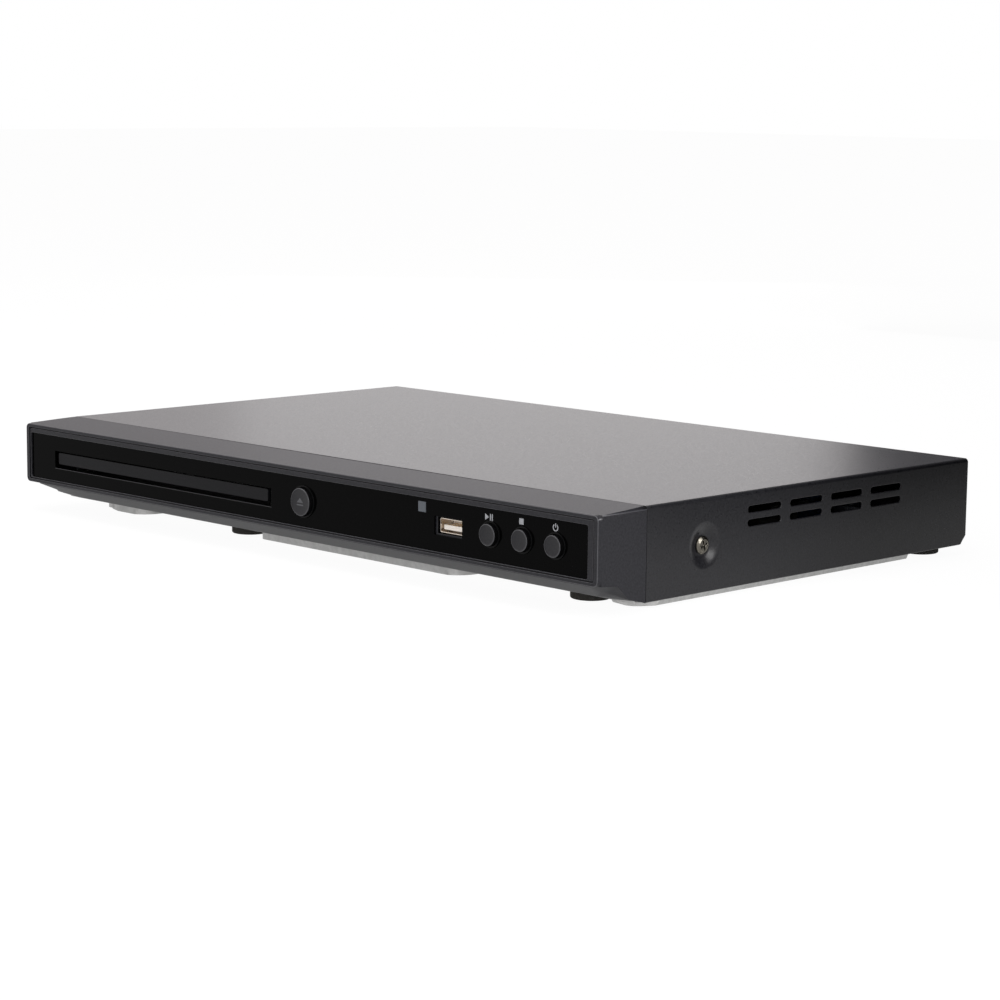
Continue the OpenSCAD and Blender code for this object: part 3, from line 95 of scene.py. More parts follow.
camera_data = bpy.data.cameras.new("camera")
camera_data.sensor_width = 36
camera_data.lens = LENS
camera = bpy.data.objects.new("camera", camera_data)
turn = Matrix((right, up, back)).transposed().to_4x4()
camera.matrix_world = Matrix.Translation(aim + back * DISTANCE) @ turn
bpy.context.scene.collection.objects.link(camera)
bpy.context.scene.camera = camera
bpy.context.scene.view_settings.view_transform = "Standard"
print("camera at", [round(v, 4) for v in camera.matrix_world.translation])

# %% [markdown]
# ## Small helpers
# Colours are written as sRGB hex values, the way a paint card gives them, and one function turns
# them into the linear numbers that a shader needs. A second function adds a node to a material
# together with its settings and links, so that each material below reads as a short recipe.

# %% Colour and node helpers
def paint(hex_code):
    """The linear red, green, blue and alpha of an sRGB hex colour."""
    parts = [int(hex_code[i:i + 2], 16) / 255 for i in (1, 3, 5)]
    linear = [p / 12.92 if p <= 0.04045 else ((p + 0.055) / 1.055) ** 2.4 for p in parts]
    return (*linear, 1.0)


def add(material, kind, inputs=None, **settings):
    """Adds a node, sets its properties, and fills its inputs with values or other nodes' sockets."""
    node = material.node_tree.nodes.new(kind)
    for name, value in settings.items():
        setattr(node, name, value)
    for name, value in (inputs or {}).items():
        if isinstance(value, bpy.types.NodeSocket):
            material.node_tree.links.new(value, node.inputs[name])
        else:
            node.inputs[name].default_value = value
    return node


def new_material(name):
    """An empty material, and the socket of its object coordinates."""
    material = bpy.data.materials.new(name)
    material.use_nodes = True
    material.node_tree.nodes.clear()
    place = add(material, "ShaderNodeTexCoord").outputs["Object"]
    return material, place


def show(material, shader):
    """Joins the finished shader to the material's output."""
    add(material, "ShaderNodeOutputMaterial", {"Surface": shader.outputs[0]})
    return material


print("middle grey in linear numbers:", [round(v, 3) for v in paint("#808080")])

# %% [markdown]
# ## Moulded and painted finishes
# Most of what shows is either textured black paint on steel or spark-eroded plastic. Both are built
# alike: a dark base speckled with a slightly lighter tone, a faint drift of that tone over a hand's
# width, and a fine bump. Grain is stated in millimetres. Noise scale counts features per metre, so a
# 0.5 mm grain needs a scale of about 2000. Real grain is finer, a tenth or two of a millimetre, and
# is drawn coarser here so that it shows at the camera's distance.

# %% A recipe for grained plastic and paint
WIDE_SCALE = 12.0    # features per metre, which is one to a hand's width
DRIFT = 0.12    # how far the wide, slow change of tone moves the fine one


def grained(name, base, lighter, grain_mm, bump_mm, roughness, level=0.5, sheen=0.0):
    """Two tones mixed by a fine grain and a weak drift, with a bump of the same grain."""
    material, place = new_material(name)
    wide = add(material, "ShaderNodeTexNoise", {"Vector": place, "Scale": WIDE_SCALE, "Detail": 1.0})
    grain = add(material, "ShaderNodeTexNoise", {"Vector": place, "Scale": 1000 / grain_mm, "Detail": 2.0,
                                                 "Roughness": 0.6})
    tone = add(material, "ShaderNodeMath", {0: wide.outputs["Fac"], 1: DRIFT, 2: grain.outputs["Fac"]},
               operation="MULTIPLY_ADD")
    ramp = add(material, "ShaderNodeValToRGB", {"Fac": tone.outputs[0]})
    dark_stop, light_stop = ramp.color_ramp.elements
    dark_stop.position, dark_stop.color = 0.35 + DRIFT / 2, paint(base)
    light_stop.position, light_stop.color = 0.65 + DRIFT / 2, paint(lighter)
    rough = add(material, "ShaderNodeMapRange", {
        "Value": grain.outputs["Fac"], "From Min": 0.3, "From Max": 0.7,
        "To Min": roughness - 0.03, "To Max": roughness + 0.03})
    bump = add(material, "ShaderNodeBump", {"Height": grain.outputs["Fac"], "Distance": bump_mm * MM,
                                            "Strength": 1.0})
    return show(material, add(material, "ShaderNodeBsdfPrincipled", {
        "Base Color": ramp.outputs["Color"], "Roughness": rough.outputs[0], "Normal": bump.outputs[0],
        "Specular IOR Level": level, "Sheen Weight": sheen}))


# Powder coat: melted grains leave a fine orange peel that breaks up every reflection.
powder_coat = grained("black_textured_powder_coat", "#161619", "#202023", 0.9, 0.015, 0.3, level=0.3)
# Spark-eroded ABS: the mould's tiny craters make it silky, with a weak wide highlight.
bezel_abs = grained("charcoal_spark_eroded_ABS", "#1c1c20", "#27272b", 0.9, 0.03, 0.43, level=0.2)
# The keys come from a smoother tool than the frame round them, and shine a little more.
key_abs = grained("grey_satin_ABS_keys", "#1b1b1e", "#232326", 0.6, 0.008, 0.32, level=0.22)
# The tray's door is the smoothest of them, and its colour is painted darker as the shade of its slot.
door_painted_shade = grained("satin_ABS_door_with_painted_shade", "#0f0f11", "#151518", 0.6, 0.006, 0.35, level=0.1)
# Walls of deep openings are smooth, and nothing lights them from the side, so they and the keys' sides are
# painted near-black as shade.
painted_shade_abs = grained("ABS_of_openings_with_painted_shade", "#070708", "#0c0c0d", 0.6, 0.006, 0.35, level=0.08)
# Moulded rubber is dull and a little brown, and the dust it holds makes it paler.
rubber = grained("moulded_black_rubber", "#3a3936", "#494845", 1.2, 0.04, 0.8, level=0.25)
# The tray is moulded dry and matt, so that discs and fingers leave no trace on it.
tray_abs = grained("black_moulded_tray_ABS", "#191a1b", "#222324", 0.8, 0.02, 0.48, level=0.4)
print("dark finishes:", powder_coat.name, bezel_abs.name, key_abs.name, rubber.name, tray_abs.name)

# %% [markdown]
# The working parts inside use the same recipe with other numbers. The loader's ABS is white and even.
# Acetal, which gears are cut from, is a little waxy. Glass-filled deck plastic is grey and dry, and
# its fibres speckle it. The pickup's body is die-cast, with a coarse satin skin. Chip packages are
# sanded epoxy, the belt is ground rubber, and lead covers and jack inserts are smooth and bright.

# %% Finishes of the inner mouldings
loader_abs = grained("white_loader_ABS", "#cfcbbf", "#dcd9cd", 1.0, 0.01, 0.45)
acetal = grained("white_acetal_gears", "#dedacd", "#ebe8dd", 0.8, 0.006, 0.35, sheen=0.1)
deck_plastic = grained("glass_filled_deck_plastic", "#34363a", "#414348", 0.5, 0.01, 0.55)
pickup_body = grained("die_cast_pickup_body", "#43454a", "#54565b", 0.7, 0.02, 0.5)
epoxy = grained("sanded_chip_epoxy", "#151517", "#202022", 0.4, 0.006, 0.6)
belt_rubber = grained("ground_belt_rubber", "#121212", "#1b1b1b", 0.5, 0.01, 0.7)
red_pvc = grained("red_PVC_lead_cover", "#7d1712", "#93221c", 0.9, 0.004, 0.4)
tongue_plastic = grained("cream_socket_plastic", "#f3ece2", "#faf5ee", 0.8, 0.004, 0.4)
yellow_insert = grained("yellow_jack_insert", "#cfa916", "#dcb926", 0.8, 0.005, 0.4)
white_insert = grained("white_jack_insert", "#dededa", "#ebebe7", 0.8, 0.005, 0.4)
red_insert = grained("red_jack_insert", "#a81f1a", "#b92b25", 0.8, 0.005, 0.4)
print("inner mouldings:", loader_abs.name, acetal.name, deck_plastic.name)

# %% [markdown]
# ## Sheet metal and turned parts
# Zinc plate, drawn motor cans, turned brass and screws are one metal recipe. Its tone is broken up
# by a noise that can be stretched, because rolled sheet and turned parts carry fine lines in one
# direction, while a zinc coat has small round crystals.

# %% A recipe for metals
SCRATCH_MM = 0.004    # depth of the fine lines


def metal(name, base, lighter, roughness, line_mm, stretch=(1, 1, 1)):
    """Two metal tones mixed by a noise of a stated size, longer where stretch is below 1."""
    material, place = new_material(name)
    turned_place = add(material, "ShaderNodeMapping", {"Vector": place, "Scale": stretch})
    lines = add(material, "ShaderNodeTexNoise", {"Vector": turned_place.outputs[0], "Scale": 1000 / line_mm,
                                                 "Detail": 3.0, "Roughness": 0.6})
    ramp = add(material, "ShaderNodeValToRGB", {"Fac": lines.outputs["Fac"]})
    dark_stop, light_stop = ramp.color_ramp.elements
    dark_stop.position, dark_stop.color = 0.35, paint(base)
    light_stop.position, light_stop.color = 0.65, paint(lighter)
    rough = add(material, "ShaderNodeMapRange", {
        "Value": lines.outputs["Fac"], "From Min": 0.3, "From Max": 0.7,
        "To Min": roughness + 0.05, "To Max": roughness - 0.05})
    bump = add(material, "ShaderNodeBump", {"Height": lines.outputs["Fac"], "Distance": SCRATCH_MM * MM,
                                            "Strength": 1.0})
    return show(material, add(material, "ShaderNodeBsdfPrincipled", {
        "Base Color": ramp.outputs["Color"], "Roughness": rough.outputs[0], "Normal": bump.outputs[0],
        "Metallic": 1.0}))


# Dull zinc: round crystals, each a shade apart, over a soft mirror.
zinc_plate = metal("dull_zinc_plate", "#b7b7b6", "#c5c5c4", 0.42, 2.5)
# Black zinc on a screw is brownish, and its cross is worn bright by the driver.
screw_steel = metal("black_zinc_screw_steel", "#55524c", "#7b776e", 0.25, 0.8)
# Polished rods and rings mirror clearly, and drawn cans show fine lines along their wall.
bright_steel = metal("polished_steel", "#c4c6c8", "#d2d4d6", 0.15, 1.5, stretch=(1, 1, 0.1))
motor_can = metal("drawn_motor_can", "#94979a", "#a9abad", 0.3, 1.2, stretch=(1, 1, 0.1))
# Turned brass has fine rings round its axis.
brass = metal("turned_brass", "#c29a42", "#d2ab55", 0.28, 0.6, stretch=(0.2, 0.2, 1))
# Tin-nickel plating is warm and nearly a mirror.
socket_plate = metal("tin_nickel_socket_shell", "#d9cdc0", "#e6dccf", 0.22, 1.0)
# Extruded aluminium is matt, with long lines from its die; a gold flash on contacts is smooth.
heat_aluminium = metal("extruded_aluminium", "#969899", "#a9abac", 0.38, 0.8, stretch=(1, 1, 0.05))
gold_contact = metal("gold_flashed_contact", "#d0a24a", "#e0b665", 0.25, 0.8)
print("metals:", zinc_plate.name, screw_steel.name, socket_plate.name)

# %% [markdown]
# ## Glossy and printed plastics
# The front window is black acrylic. Polished acrylic still has a very slight waviness from its
# mould and a little surface dust, and those two are what stop it from looking like a hole.

# %% Gloss recipe
WAVE_HEIGHT_MM = 0.02    # how far a moulded face waves
DUST_SCALE = 1500.0    # specks per metre, coarser than real dust so that they show


def glossy(name, base, lighter, roughness, level, wave_mm=30, coat=0.0):
    """Smooth plastic: an even colour with a trace of dust, and a long shallow wave in its surface."""
    material, place = new_material(name)
    dust = add(material, "ShaderNodeTexNoise", {"Vector": place, "Scale": DUST_SCALE, "Detail": 3.0})
    ramp = add(material, "ShaderNodeValToRGB", {"Fac": dust.outputs["Fac"]})
    dark_stop, light_stop = ramp.color_ramp.elements
    dark_stop.position, dark_stop.color = 0.5, paint(base)
    light_stop.position, light_stop.color = 0.8, paint(lighter)
    wave = add(material, "ShaderNodeTexNoise", {"Vector": place, "Scale": 1000 / wave_mm, "Detail": 0.0})
    bump = add(material, "ShaderNodeBump", {"Height": wave.outputs["Fac"], "Distance": WAVE_HEIGHT_MM * MM,
                                            "Strength": 1.0})
    return show(material, add(material, "ShaderNodeBsdfPrincipled", {
        "Base Color": ramp.outputs["Color"], "Roughness": roughness, "Normal": bump.outputs[0],
        "Specular IOR Level": level, "Coat Weight": coat, "Coat Roughness": 0.05}))


window_acrylic = glossy("black_acrylic_window", "#030303", "#070708", 0.12, 0.03)
# Light that runs inside the acrylic leaves at its polished cut edge; its paler grey is a painted highlight.
slot_edge_highlight = glossy("acrylic_slot_edge_with_painted_highlight", "#2c2c2f", "#3a3a3e", 0.2, 0.5, wave_mm=3)
# Smoked plastic over the remote's sensor is a small grey pane; the pickup's coated lens is violet.
sensor_lens = glossy("smoked_sensor_lens", "#555a60", "#62676e", 0.15, 0.3, wave_mm=2)
lens_glass = glossy("coated_pickup_lens", "#414a77", "#525c8c", 0.04, 0.8, wave_mm=5, coat=1.0)
# A sleeve that is shrunk over a can is wavy, and pad-printed ink is pale and nearly matt.
shrink_sleeve = glossy("dark_blue_shrink_sleeve", "#1e2a40", "#2a3752", 0.2, 0.5, wave_mm=1.5)
mark_ink = glossy("pale_grey_pad_ink", "#9b9da1", "#a9abaf", 0.5, 0.3, wave_mm=1)
# Edges and raised marks of ABS are drawn in a lighter, glossier grey: painted highlight and sheen.
highlight_edge = glossy("ABS_edge_with_painted_highlight", "#3d3d41", "#4a4a4f", 0.3, 0.6, wave_mm=4)
key_rim_highlight = glossy("painted_highlight_on_edge_of_key", "#3a3a3e", "#45454a", 0.3, 0.5, wave_mm=4)
relief_mark_sheen = glossy("painted_sheen_on_relief_mark", "#4a4b4e", "#55565a", 0.45, 0.3, wave_mm=1)
print("gloss:", window_acrylic.name, mark_ink.name)

# %% [markdown]
# ## Boards, windings and ribbons
# These show a regular pattern: tracks under the green mask, turns of tape or wire, and conductors in
# a flat ribbon. Bands of a wave texture give the turns and conductors their true pitch, and a brick
# texture gives the boards something like tracks and pads.

# %% Striped and tracked finishes
def banded(name, base, stripe, pitch_mm, direction, roughness=0.4, bump_mm=0.1):
    """Stripes of a stated pitch across X, Y or Z, as wire turns or ribbon conductors make."""
    material, place = new_material(name)
    bands = add(material, "ShaderNodeTexWave", {"Vector": place, "Scale": math.pi / 10 / (pitch_mm * MM)},
                wave_type="BANDS", bands_direction=direction)
    ramp = add(material, "ShaderNodeValToRGB", {"Fac": bands.outputs["Fac"]})
    dark_stop, light_stop = ramp.color_ramp.elements
    dark_stop.position, dark_stop.color = 0.3, paint(base)
    light_stop.position, light_stop.color = 0.7, paint(stripe)
    bump = add(material, "ShaderNodeBump", {"Height": bands.outputs["Fac"], "Distance": bump_mm * MM,
                                            "Strength": 1.0})
    return show(material, add(material, "ShaderNodeBsdfPrincipled", {
        "Base Color": ramp.outputs["Color"], "Roughness": roughness, "Normal": bump.outputs[0]}))


def board(name, mask, track, roughness=0.3):
    """Solder mask over tracks: long thin bricks, whose joints are the gaps between the tracks."""
    material, place = new_material(name)
    tracks = add(material, "ShaderNodeTexBrick", {
        "Vector": place, "Scale": 100.0, "Color1": paint(mask), "Color2": paint(track), "Mortar": paint(mask),
        "Mortar Size": 0.04, "Brick Width": 1.4, "Row Height": 0.12})
    bump = add(material, "ShaderNodeBump", {"Height": tracks.outputs["Fac"], "Distance": 0.03 * MM,
                                            "Strength": 1.0}, invert=True)
    return show(material, add(material, "ShaderNodeBsdfPrincipled", {
        "Base Color": tracks.outputs["Color"], "Roughness": roughness, "Normal": bump.outputs[0]}))


green_board = board("green_solder_mask", "#235a33", "#2f7043")
tan_board = board("phenolic_board", "#a27f4b", "#b38f58", roughness=0.5)
# the tape and the turns inside the case are painted nearly black as shade, so that nothing pale shows through
# the cover's slots
winding_tape = banded("polyester_tape_with_painted_shade", "#0e0e0d", "#171714", 2.4, "Z", bump_mm=0.06)
choke_wire = banded("blue_enamelled_turns_with_painted_shade", "#0c1018", "#141b28", 0.9, "X", roughness=0.5)
front_ribbon_film = banded("flat_cable_across_x", "#bdb9ad", "#d8d4c8", 1.25, "X", bump_mm=0.03)
deck_ribbon_film = banded("flat_cable_across_y", "#bdb9ad", "#d8d4c8", 1.25, "Y", bump_mm=0.03)
print("patterned:", green_board.name, winding_tape.name, front_ribbon_film.name)

# %% [markdown]
# ## Dress the solid model
# Each solid already carries the name of a material slot. One table joins the slots to the finishes,
# and the few pieces that need another finish than their slot's are listed after it.

# %% Finish of every slot
finish_of = {
    "black_painted_steel": powder_coat, "zinc_plated_steel": zinc_plate, "dark_plastic": bezel_abs,
    "black_gloss": window_acrylic, "button_grey": key_abs, "window_lens": sensor_lens, "rubber": rubber,
    "screw_steel": screw_steel, "bright_steel": bright_steel, "tray_black": tray_abs,
    "loader_white": loader_abs, "gear_white": acetal, "motor_steel": motor_can, "brass": brass,
    "belt_rubber": belt_rubber, "deck_grey": deck_plastic, "pickup_grey": pickup_body,
    "lens_glass": lens_glass, "board_green": green_board, "board_tan": tan_board, "black_chip": epoxy,
    "capacitor_sleeve": shrink_sleeve, "transformer_tape": winding_tape,
    "heatsink_aluminium": heat_aluminium, "coil_blue": choke_wire, "usb_metal": socket_plate,
    "usb_tongue": tongue_plastic, "jack_ring": bright_steel, "jack_yellow": yellow_insert,
    "jack_white": white_insert, "jack_red": red_insert, "ribbon": front_ribbon_film, "lead_red": red_pvc,
}
# the tray's door takes the satin ABS painted darker as the shade of its slot
own_finish = {"deck_ribbon": deck_ribbon_film, "tray_door": door_painted_shade, "loader_frame": tray_abs}
for name, solid in solids.items():
    solid.data.materials.clear()
    solid.data.materials.append(own_finish.get(name, finish_of[slot_of[name]]))
print(len(finish_of), "slots finished")

# %% [markdown]
# ## Soft edges
# A moulded or folded edge is never a perfect corner. It is rounded by a few tenths of a millimetre,
# and that round catches the light as a thin pale line, which is most of what tells the eye that a
# black object has edges at all. The solids have sharp corners, so the pieces that show are copied,
# their loose triangles are merged and flattened, and the bevel operator rounds every real edge. The
# copy stands exactly where the solid stood and replaces it.
#
# The pieces were drawn in millimetres from the front of the frame, so two small functions lead from
# those numbers to the model's metres and back.

# %% Millimetres to metres, and a merged copy
Y_MIDDLE = 117.8    # the machine's own y = 0 is the front of its frame; the model's is its middle


def machine_point(x, y, z):
    """A point of the machine's own millimetres in the model's metres."""
    return Vector((x, y - Y_MIDDLE, z)) * MM


def in_machine(point):
    """A point of the model's metres as the machine's own x, y and z in millimetres."""
    return point[0] / MM, point[1] / MM + Y_MIDDLE, point[2] / MM


def merged_copy(name):
    """A mesh holding one solid with its triangles joined and its flat faces whole."""
    mesh = solids[name].data.copy()
    if "custom_normal" in mesh.attributes:
        mesh.attributes.remove(mesh.attributes["custom_normal"])
    shape = bmesh.new()
    shape.from_mesh(mesh)
    bmesh.ops.remove_doubles(shape, verts=shape.verts, dist=0.004 * MM)
    bmesh.ops.dissolve_limit(shape, angle_limit=math.radians(0.8), verts=shape.verts, edges=shape.edges)
    return mesh, shape


print("front of the frame in the model's metres:", round(machine_point(0, 0, 0).y, 4))

# %% [markdown]
# When a copy has its shape, its remaining sharp edges are rounded and it takes its solid's place. A
# weighted normal modifier then lets the big flat faces decide the shading, so that a round beside
# them doesn't dent them. Where a long edge ends in a tiny one, the tiny one can keep its corner.

# %% Put a soft-edged copy in its solid's place
SHARP_ANGLE = math.radians(32)
SHORT_EDGE = 10 * MM


def stand_in(name, mesh, shape, width_mm, leave=lambda x, y, z: False):
    """Puts the shaped copy in its solid's place, with its edges rounded by width_mm.

    Short edges whose two ends pass leave(x, y, z), in machine millimetres, keep their corner."""
    sharp = []
    for edge in shape.edges:
        left = edge.calc_length() < SHORT_EDGE and all(leave(*in_machine(v.co)) for v in edge.verts)
        if edge.is_manifold and not left and edge.calc_face_angle(0) > SHARP_ANGLE:
            sharp.append(edge)
    bmesh.ops.bevel(shape, geom=sharp, offset=width_mm * MM, offset_type="OFFSET", segments=2,
                    profile=0.5, affect="EDGES", clamp_overlap=False, material=-1)
    # a wide round may overshoot at a tight corner, so every point is held inside the solids' own box
    for vert in shape.verts:
        vert.co = [min(max(at, low), high) for at, low, high in zip(vert.co, cad_low, cad_high)]
    for face in shape.faces:
        face.smooth = True
    shape.to_mesh(mesh)
    shape.free()
    piece = bpy.data.objects.new(name + "_soft_edged", mesh)
    bpy.context.scene.collection.objects.link(piece)
    shading = piece.modifiers.new("shading", "WEIGHTED_NORMAL")
    shading.mode, shading.weight, shading.keep_sharp = "FACE_AREA", 100, True
    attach(piece, rides_on[name])
    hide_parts(name)
    return piece


print("edges sharper than", round(math.degrees(SHARP_ANGLE)), "degrees are rounded")

# %% [markdown]
# Some edges need a larger round than the rest, and a few points have to move a little. Both are chosen
# by where they are: a test is asked about each point's place, in the machine's millimetres.

# %% Round or move what passes a test
FOLD_ANGLE = math.radians(12)


def within(low, high):
    """A test that passes the points inside a box, given by its two corners."""
    return lambda *point: all(a < at < b for a, at, b in zip(low, point, high))


def round_edges(shape, keep, radius_mm, segments=4, wall_top_mm=None):
    """Rounds the edges whose two ends pass keep(x, y, z), in machine millimetres. Where wall_top_mm is
    given, one of the faces beside the edge has to reach that height, which leaves out small bores."""
    chosen = [e for e in shape.edges if all(keep(*in_machine(v.co)) for v in e.verts)
              and e.is_manifold and e.calc_face_angle(0) > FOLD_ANGLE]
    if wall_top_mm is not None:
        chosen = [e for e in chosen if any(v.co.z > wall_top_mm * MM for f in e.link_faces for v in f.verts)]
    bmesh.ops.bevel(shape, geom=chosen, offset=radius_mm * MM, offset_type="OFFSET", segments=segments,
                    profile=0.5, affect="EDGES", clamp_overlap=wall_top_mm is not None, material=-1)
    return len(chosen)


def nudge(shape, keep, step_mm):
    """Moves the points that pass keep(x, y, z) by a step in millimetres, and counts them."""
    chosen = [v for v in shape.verts if keep(*in_machine(v.co))]
    bmesh.ops.translate(shape, verts=chosen, vec=Vector(step_mm) * MM)
    return len(chosen)


print("folds of more than", round(math.degrees(FOLD_ANGLE)), "degrees count as edges")

# %% [markdown]
# The steel cover gets different rounds. The dished screw seat is pressed over a tool with generous
# radii, the lower edges are rolled over, the ventilation slots are punched, and everything else has
# only the small round of a painted edge.

# %% Top cover
HALF_WIDTH, HEM_Z = 180, 4.2
SEAT_Y, SEAT_Z, SEAT_DEPTH = 60.0, 22.5, 1.8
SEAT_RIM, SEAT_FLOOR = 8.25, 4.6    # radii of the dish at the sheet's face and at its floor
SLOTS_FRONT, SLOTS_REAR, SLOTS_LOW, SLOTS_HIGH = 75, 232, 24, 38.4


def on_side_slots(x, y, z):
    """True on the outer edges of the ventilation slots in the cover's sides."""
    return on_side(x) and SLOTS_FRONT < y < SLOTS_REAR and SLOTS_LOW < z < SLOTS_HIGH


def on_side(x, depth=0.0):
    """True within a hair of the machine's left or right face, or of a plane some depth inside it."""
    return abs(abs(x) - HALF_WIDTH + depth) < 0.05


def from_seat(y, z):
    """Distance from the middle of the screw seat."""
    return math.hypot(y - SEAT_Y, z - SEAT_Z)


mesh, shape = merged_copy("top_cover")
rims = round_edges(shape, lambda x, y, z: on_side(x) and abs(from_seat(y, z) - SEAT_RIM) < 0.1, 1.3)
floors = round_edges(shape, lambda x, y, z: on_side(x, SEAT_DEPTH)
                     and abs(from_seat(y, z) - SEAT_FLOOR) < 0.12, 0.7)
hems = round_edges(shape, lambda x, y, z: on_side(x) and abs(z - HEM_Z) < 0.05, 0.55, segments=3)
punched = round_edges(shape, on_side_slots, 0.3, segments=3)
stand_in("top_cover", mesh, shape, 0.12)
print("cover edges rounded:", rims, floors, hems, punched)

# %% [markdown]
# The bezel is one moulding: the picture frame round the window, the roof, the two side returns and
# the sloping chin. Its frame has a rounded outer rim, and a groove that parts the rim from the lip.

# %% Where the bezel's frame is
FRAME_LOW, FRAME_HIGH, FRAME_CORNER = 13.3, 40.1, 2.2


def on_frame_outline(x, y, z):
    """True on the outer edge of the picture frame's front, round its four rounded corners too."""
    side, middle = HALF_WIDTH - FRAME_CORNER, (FRAME_LOW + FRAME_HIGH) / 2
    over_x = max(abs(x) - side, 0)
    over_z = max(abs(z - middle) - (FRAME_HIGH - FRAME_LOW) / 2 + FRAME_CORNER, 0)
    return abs(y) < 0.03 and abs(math.hypot(over_x, over_z) - FRAME_CORNER) < 0.06


def at_frame_corner(x, y, z):
    """True where the frame's round corner meets the square one of the body, and at the seam's ends."""
    behind_round = abs(x) > 177 and 2.3 < y < 3.6 and (z < 16 or z > 37.5)
    return behind_round or (abs(x) > 177 and y > 26 and z > 39.5)


print("frame is", round(FRAME_HIGH - FRAME_LOW, 1), "mm high")

# %% [markdown]
# Three small forms are set on the copy. The left lip is only a few tenths of a millimetre wide. The
# roof's rear edge lies a little below the cover, which makes the seam between them show. At each end
# of the chin, a corner between its slope and the side is folded inwards over a new middle point.

# %% Reshape the bezel
LIP_BOX, LIP_SHIFT = ((-174.7, 0.3, 15), (-173.5, 2.1, 37)), -2.3
SEAM_BOX, SEAM_DROP = ((-181, 26.6, 40.3), (181, 30, 42)), -0.3
CHIN_TOP, CHIN_FOOT, CHIN_FOLD = (173.4, 2.4, 12.6), (180.0, 17.5, 6.6), (173.6, 12.6, 9.0)
mesh, shape = merged_copy("front_bezel")
lip = nudge(shape, within(*LIP_BOX), (LIP_SHIFT, 0, 0))
seam = nudge(shape, within(*SEAM_BOX), (0, 0, SEAM_DROP))
for side in (-1, 1):
    top, foot, fold = (machine_point(side * x, y, z) for x, y, z in (CHIN_TOP, CHIN_FOOT, CHIN_FOLD))
    ends = [min(shape.verts, key=lambda v: (v.co - end).length) for end in (top, foot)]
    middle = bmesh.ops.subdivide_edges(shape, edges=[shape.edges.get(ends)], cuts=1)["geom_inner"][0]
    middle.co = fold
    bmesh.ops.triangulate(shape, faces=list(middle.link_faces))
print("points of the lip and seam moved:", lip, seam)

# %% [markdown]
# The walls of a deep opening look darker than the face round it, because they come smooth from the tool and
# see little light. Those round the four keys and the USB socket are painted near-black as shade. The frame's
# outer edge and the fold between roof and sides are painted a lighter, glossier grey as a highlight.

# %% Finish the bezel
KEYS = ("open_close_button", "play_button", "stop_button", "power_button")
PAINTED_SHADE_SLOT, HIGHLIGHT_SLOT = 1, 2
in_usb_mouth = within((92, 1.9, 22), (107.5, 4.1, 30))
# the walls round the keys and the USB mouth are painted near-black as shade
mesh.materials.append(painted_shade_abs)
for name in KEYS:
    low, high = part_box(name)
    axis_x, axis_z, reach = (low[0] + high[0]) / 2, (low[2] + high[2]) / 2, (high[0] - low[0]) / 2 + 0.5 * MM
    for face in shape.faces:
        if all(math.hypot(v.co.x - axis_x, v.co.z - axis_z) < reach for v in face.verts):
            face.material_index = PAINTED_SHADE_SLOT
for face in shape.faces:
    if all(in_usb_mouth(*in_machine(v.co)) for v in face.verts):
        face.material_index = PAINTED_SHADE_SLOT
outer = round_edges(shape, on_frame_outline, 0.4)
bezel = stand_in("front_bezel", mesh, shape, 0.12, leave=at_frame_corner)
# the frame's rim and the folds beside the roof are painted a lighter grey as a highlight
bezel.data.materials.append(highlight_edge)
for polygon in bezel.data.polygons:
    x, y, z = in_machine(polygon.center)
    rim_round = y < 0.45 and -0.95 < polygon.normal.y < -0.2
    side_fold = abs(x) > HALF_WIDTH - 0.25 and polygon.normal.z > 0.25 and abs(polygon.normal.x) > 0.25
    if rim_round or side_fold:
        polygon.material_index = HIGHLIGHT_SLOT
print("bezel rim edges rounded:", outer)

# %% [markdown]
# The bottom pan is drawn in a press, so the edge of its lowered field is a generous round, nearly
# three times the sheet's thickness. The sheet can't follow the tool into the sharp tips of the field
# at the front, so there it runs out in a ramp. Five cuts give the flat sheet points to bend at.

# %% Bottom pan
PAN_Z, DRAWN_RADIUS, WALL_TOP = 1.0, 1.9, 3.5
TIP_X, TIP_Y, RUN_OUT, LIFT = 163.2, 26.2, 8.0, 2.8
ACROSS_Y, ACROSS_X = (0, 1, 0), (1, 0, 0)
CUTS = (((0, 34.8, 0), ACROSS_Y), ((172.0, 0, 0), ACROSS_X), ((-172.0, 0, 0), ACROSS_X),
        ((154.5, 0, 0), ACROSS_X), ((-154.5, 0, 0), ACROSS_X))


def from_tip(vert):
    """Distance from the nearer tip of the field, as a share of the ramp's length."""
    x, y, _ = in_machine(vert.co)
    return math.hypot(abs(x) - TIP_X, y - TIP_Y) / RUN_OUT


def on_drawn_edge(x, y, z):
    """True on the field's lower outline, and not at the ventilation slots."""
    return abs(z - PAN_Z) < 0.03 and not (130 < abs(x) < 172 and 97 < y < 175)


mesh, shape = merged_copy("bottom_chassis")
for point, across in CUTS:
    bmesh.ops.bisect_plane(shape, geom=shape.verts[:] + shape.edges[:] + shape.faces[:],
                           plane_co=machine_point(*point), plane_no=across)
lifted = [v for v in shape.verts if v.co.z < 2.5 * MM and from_tip(v) < 1]
for vert in lifted:
    vert.co.z += LIFT * (1 - from_tip(vert)) ** 2 * MM
bmesh.ops.triangulate(shape, faces=list({f for v in lifted for f in v.link_faces}))
drawn = round_edges(shape, on_drawn_edge, DRAWN_RADIUS, wall_top_mm=WALL_TOP)
stand_in("bottom_chassis", mesh, shape, 0.12)
print("pan edges rounded:", drawn)

# %% [markdown]
# A window of cut acrylic shows a thin pale line round each opening, because its polished cut edge is clear of
# the black print on its back and lets light out. The edges of the tray's slot get a chamfer, and its lower
# and right sides, which the light reaches, are painted that paler grey as a highlight.

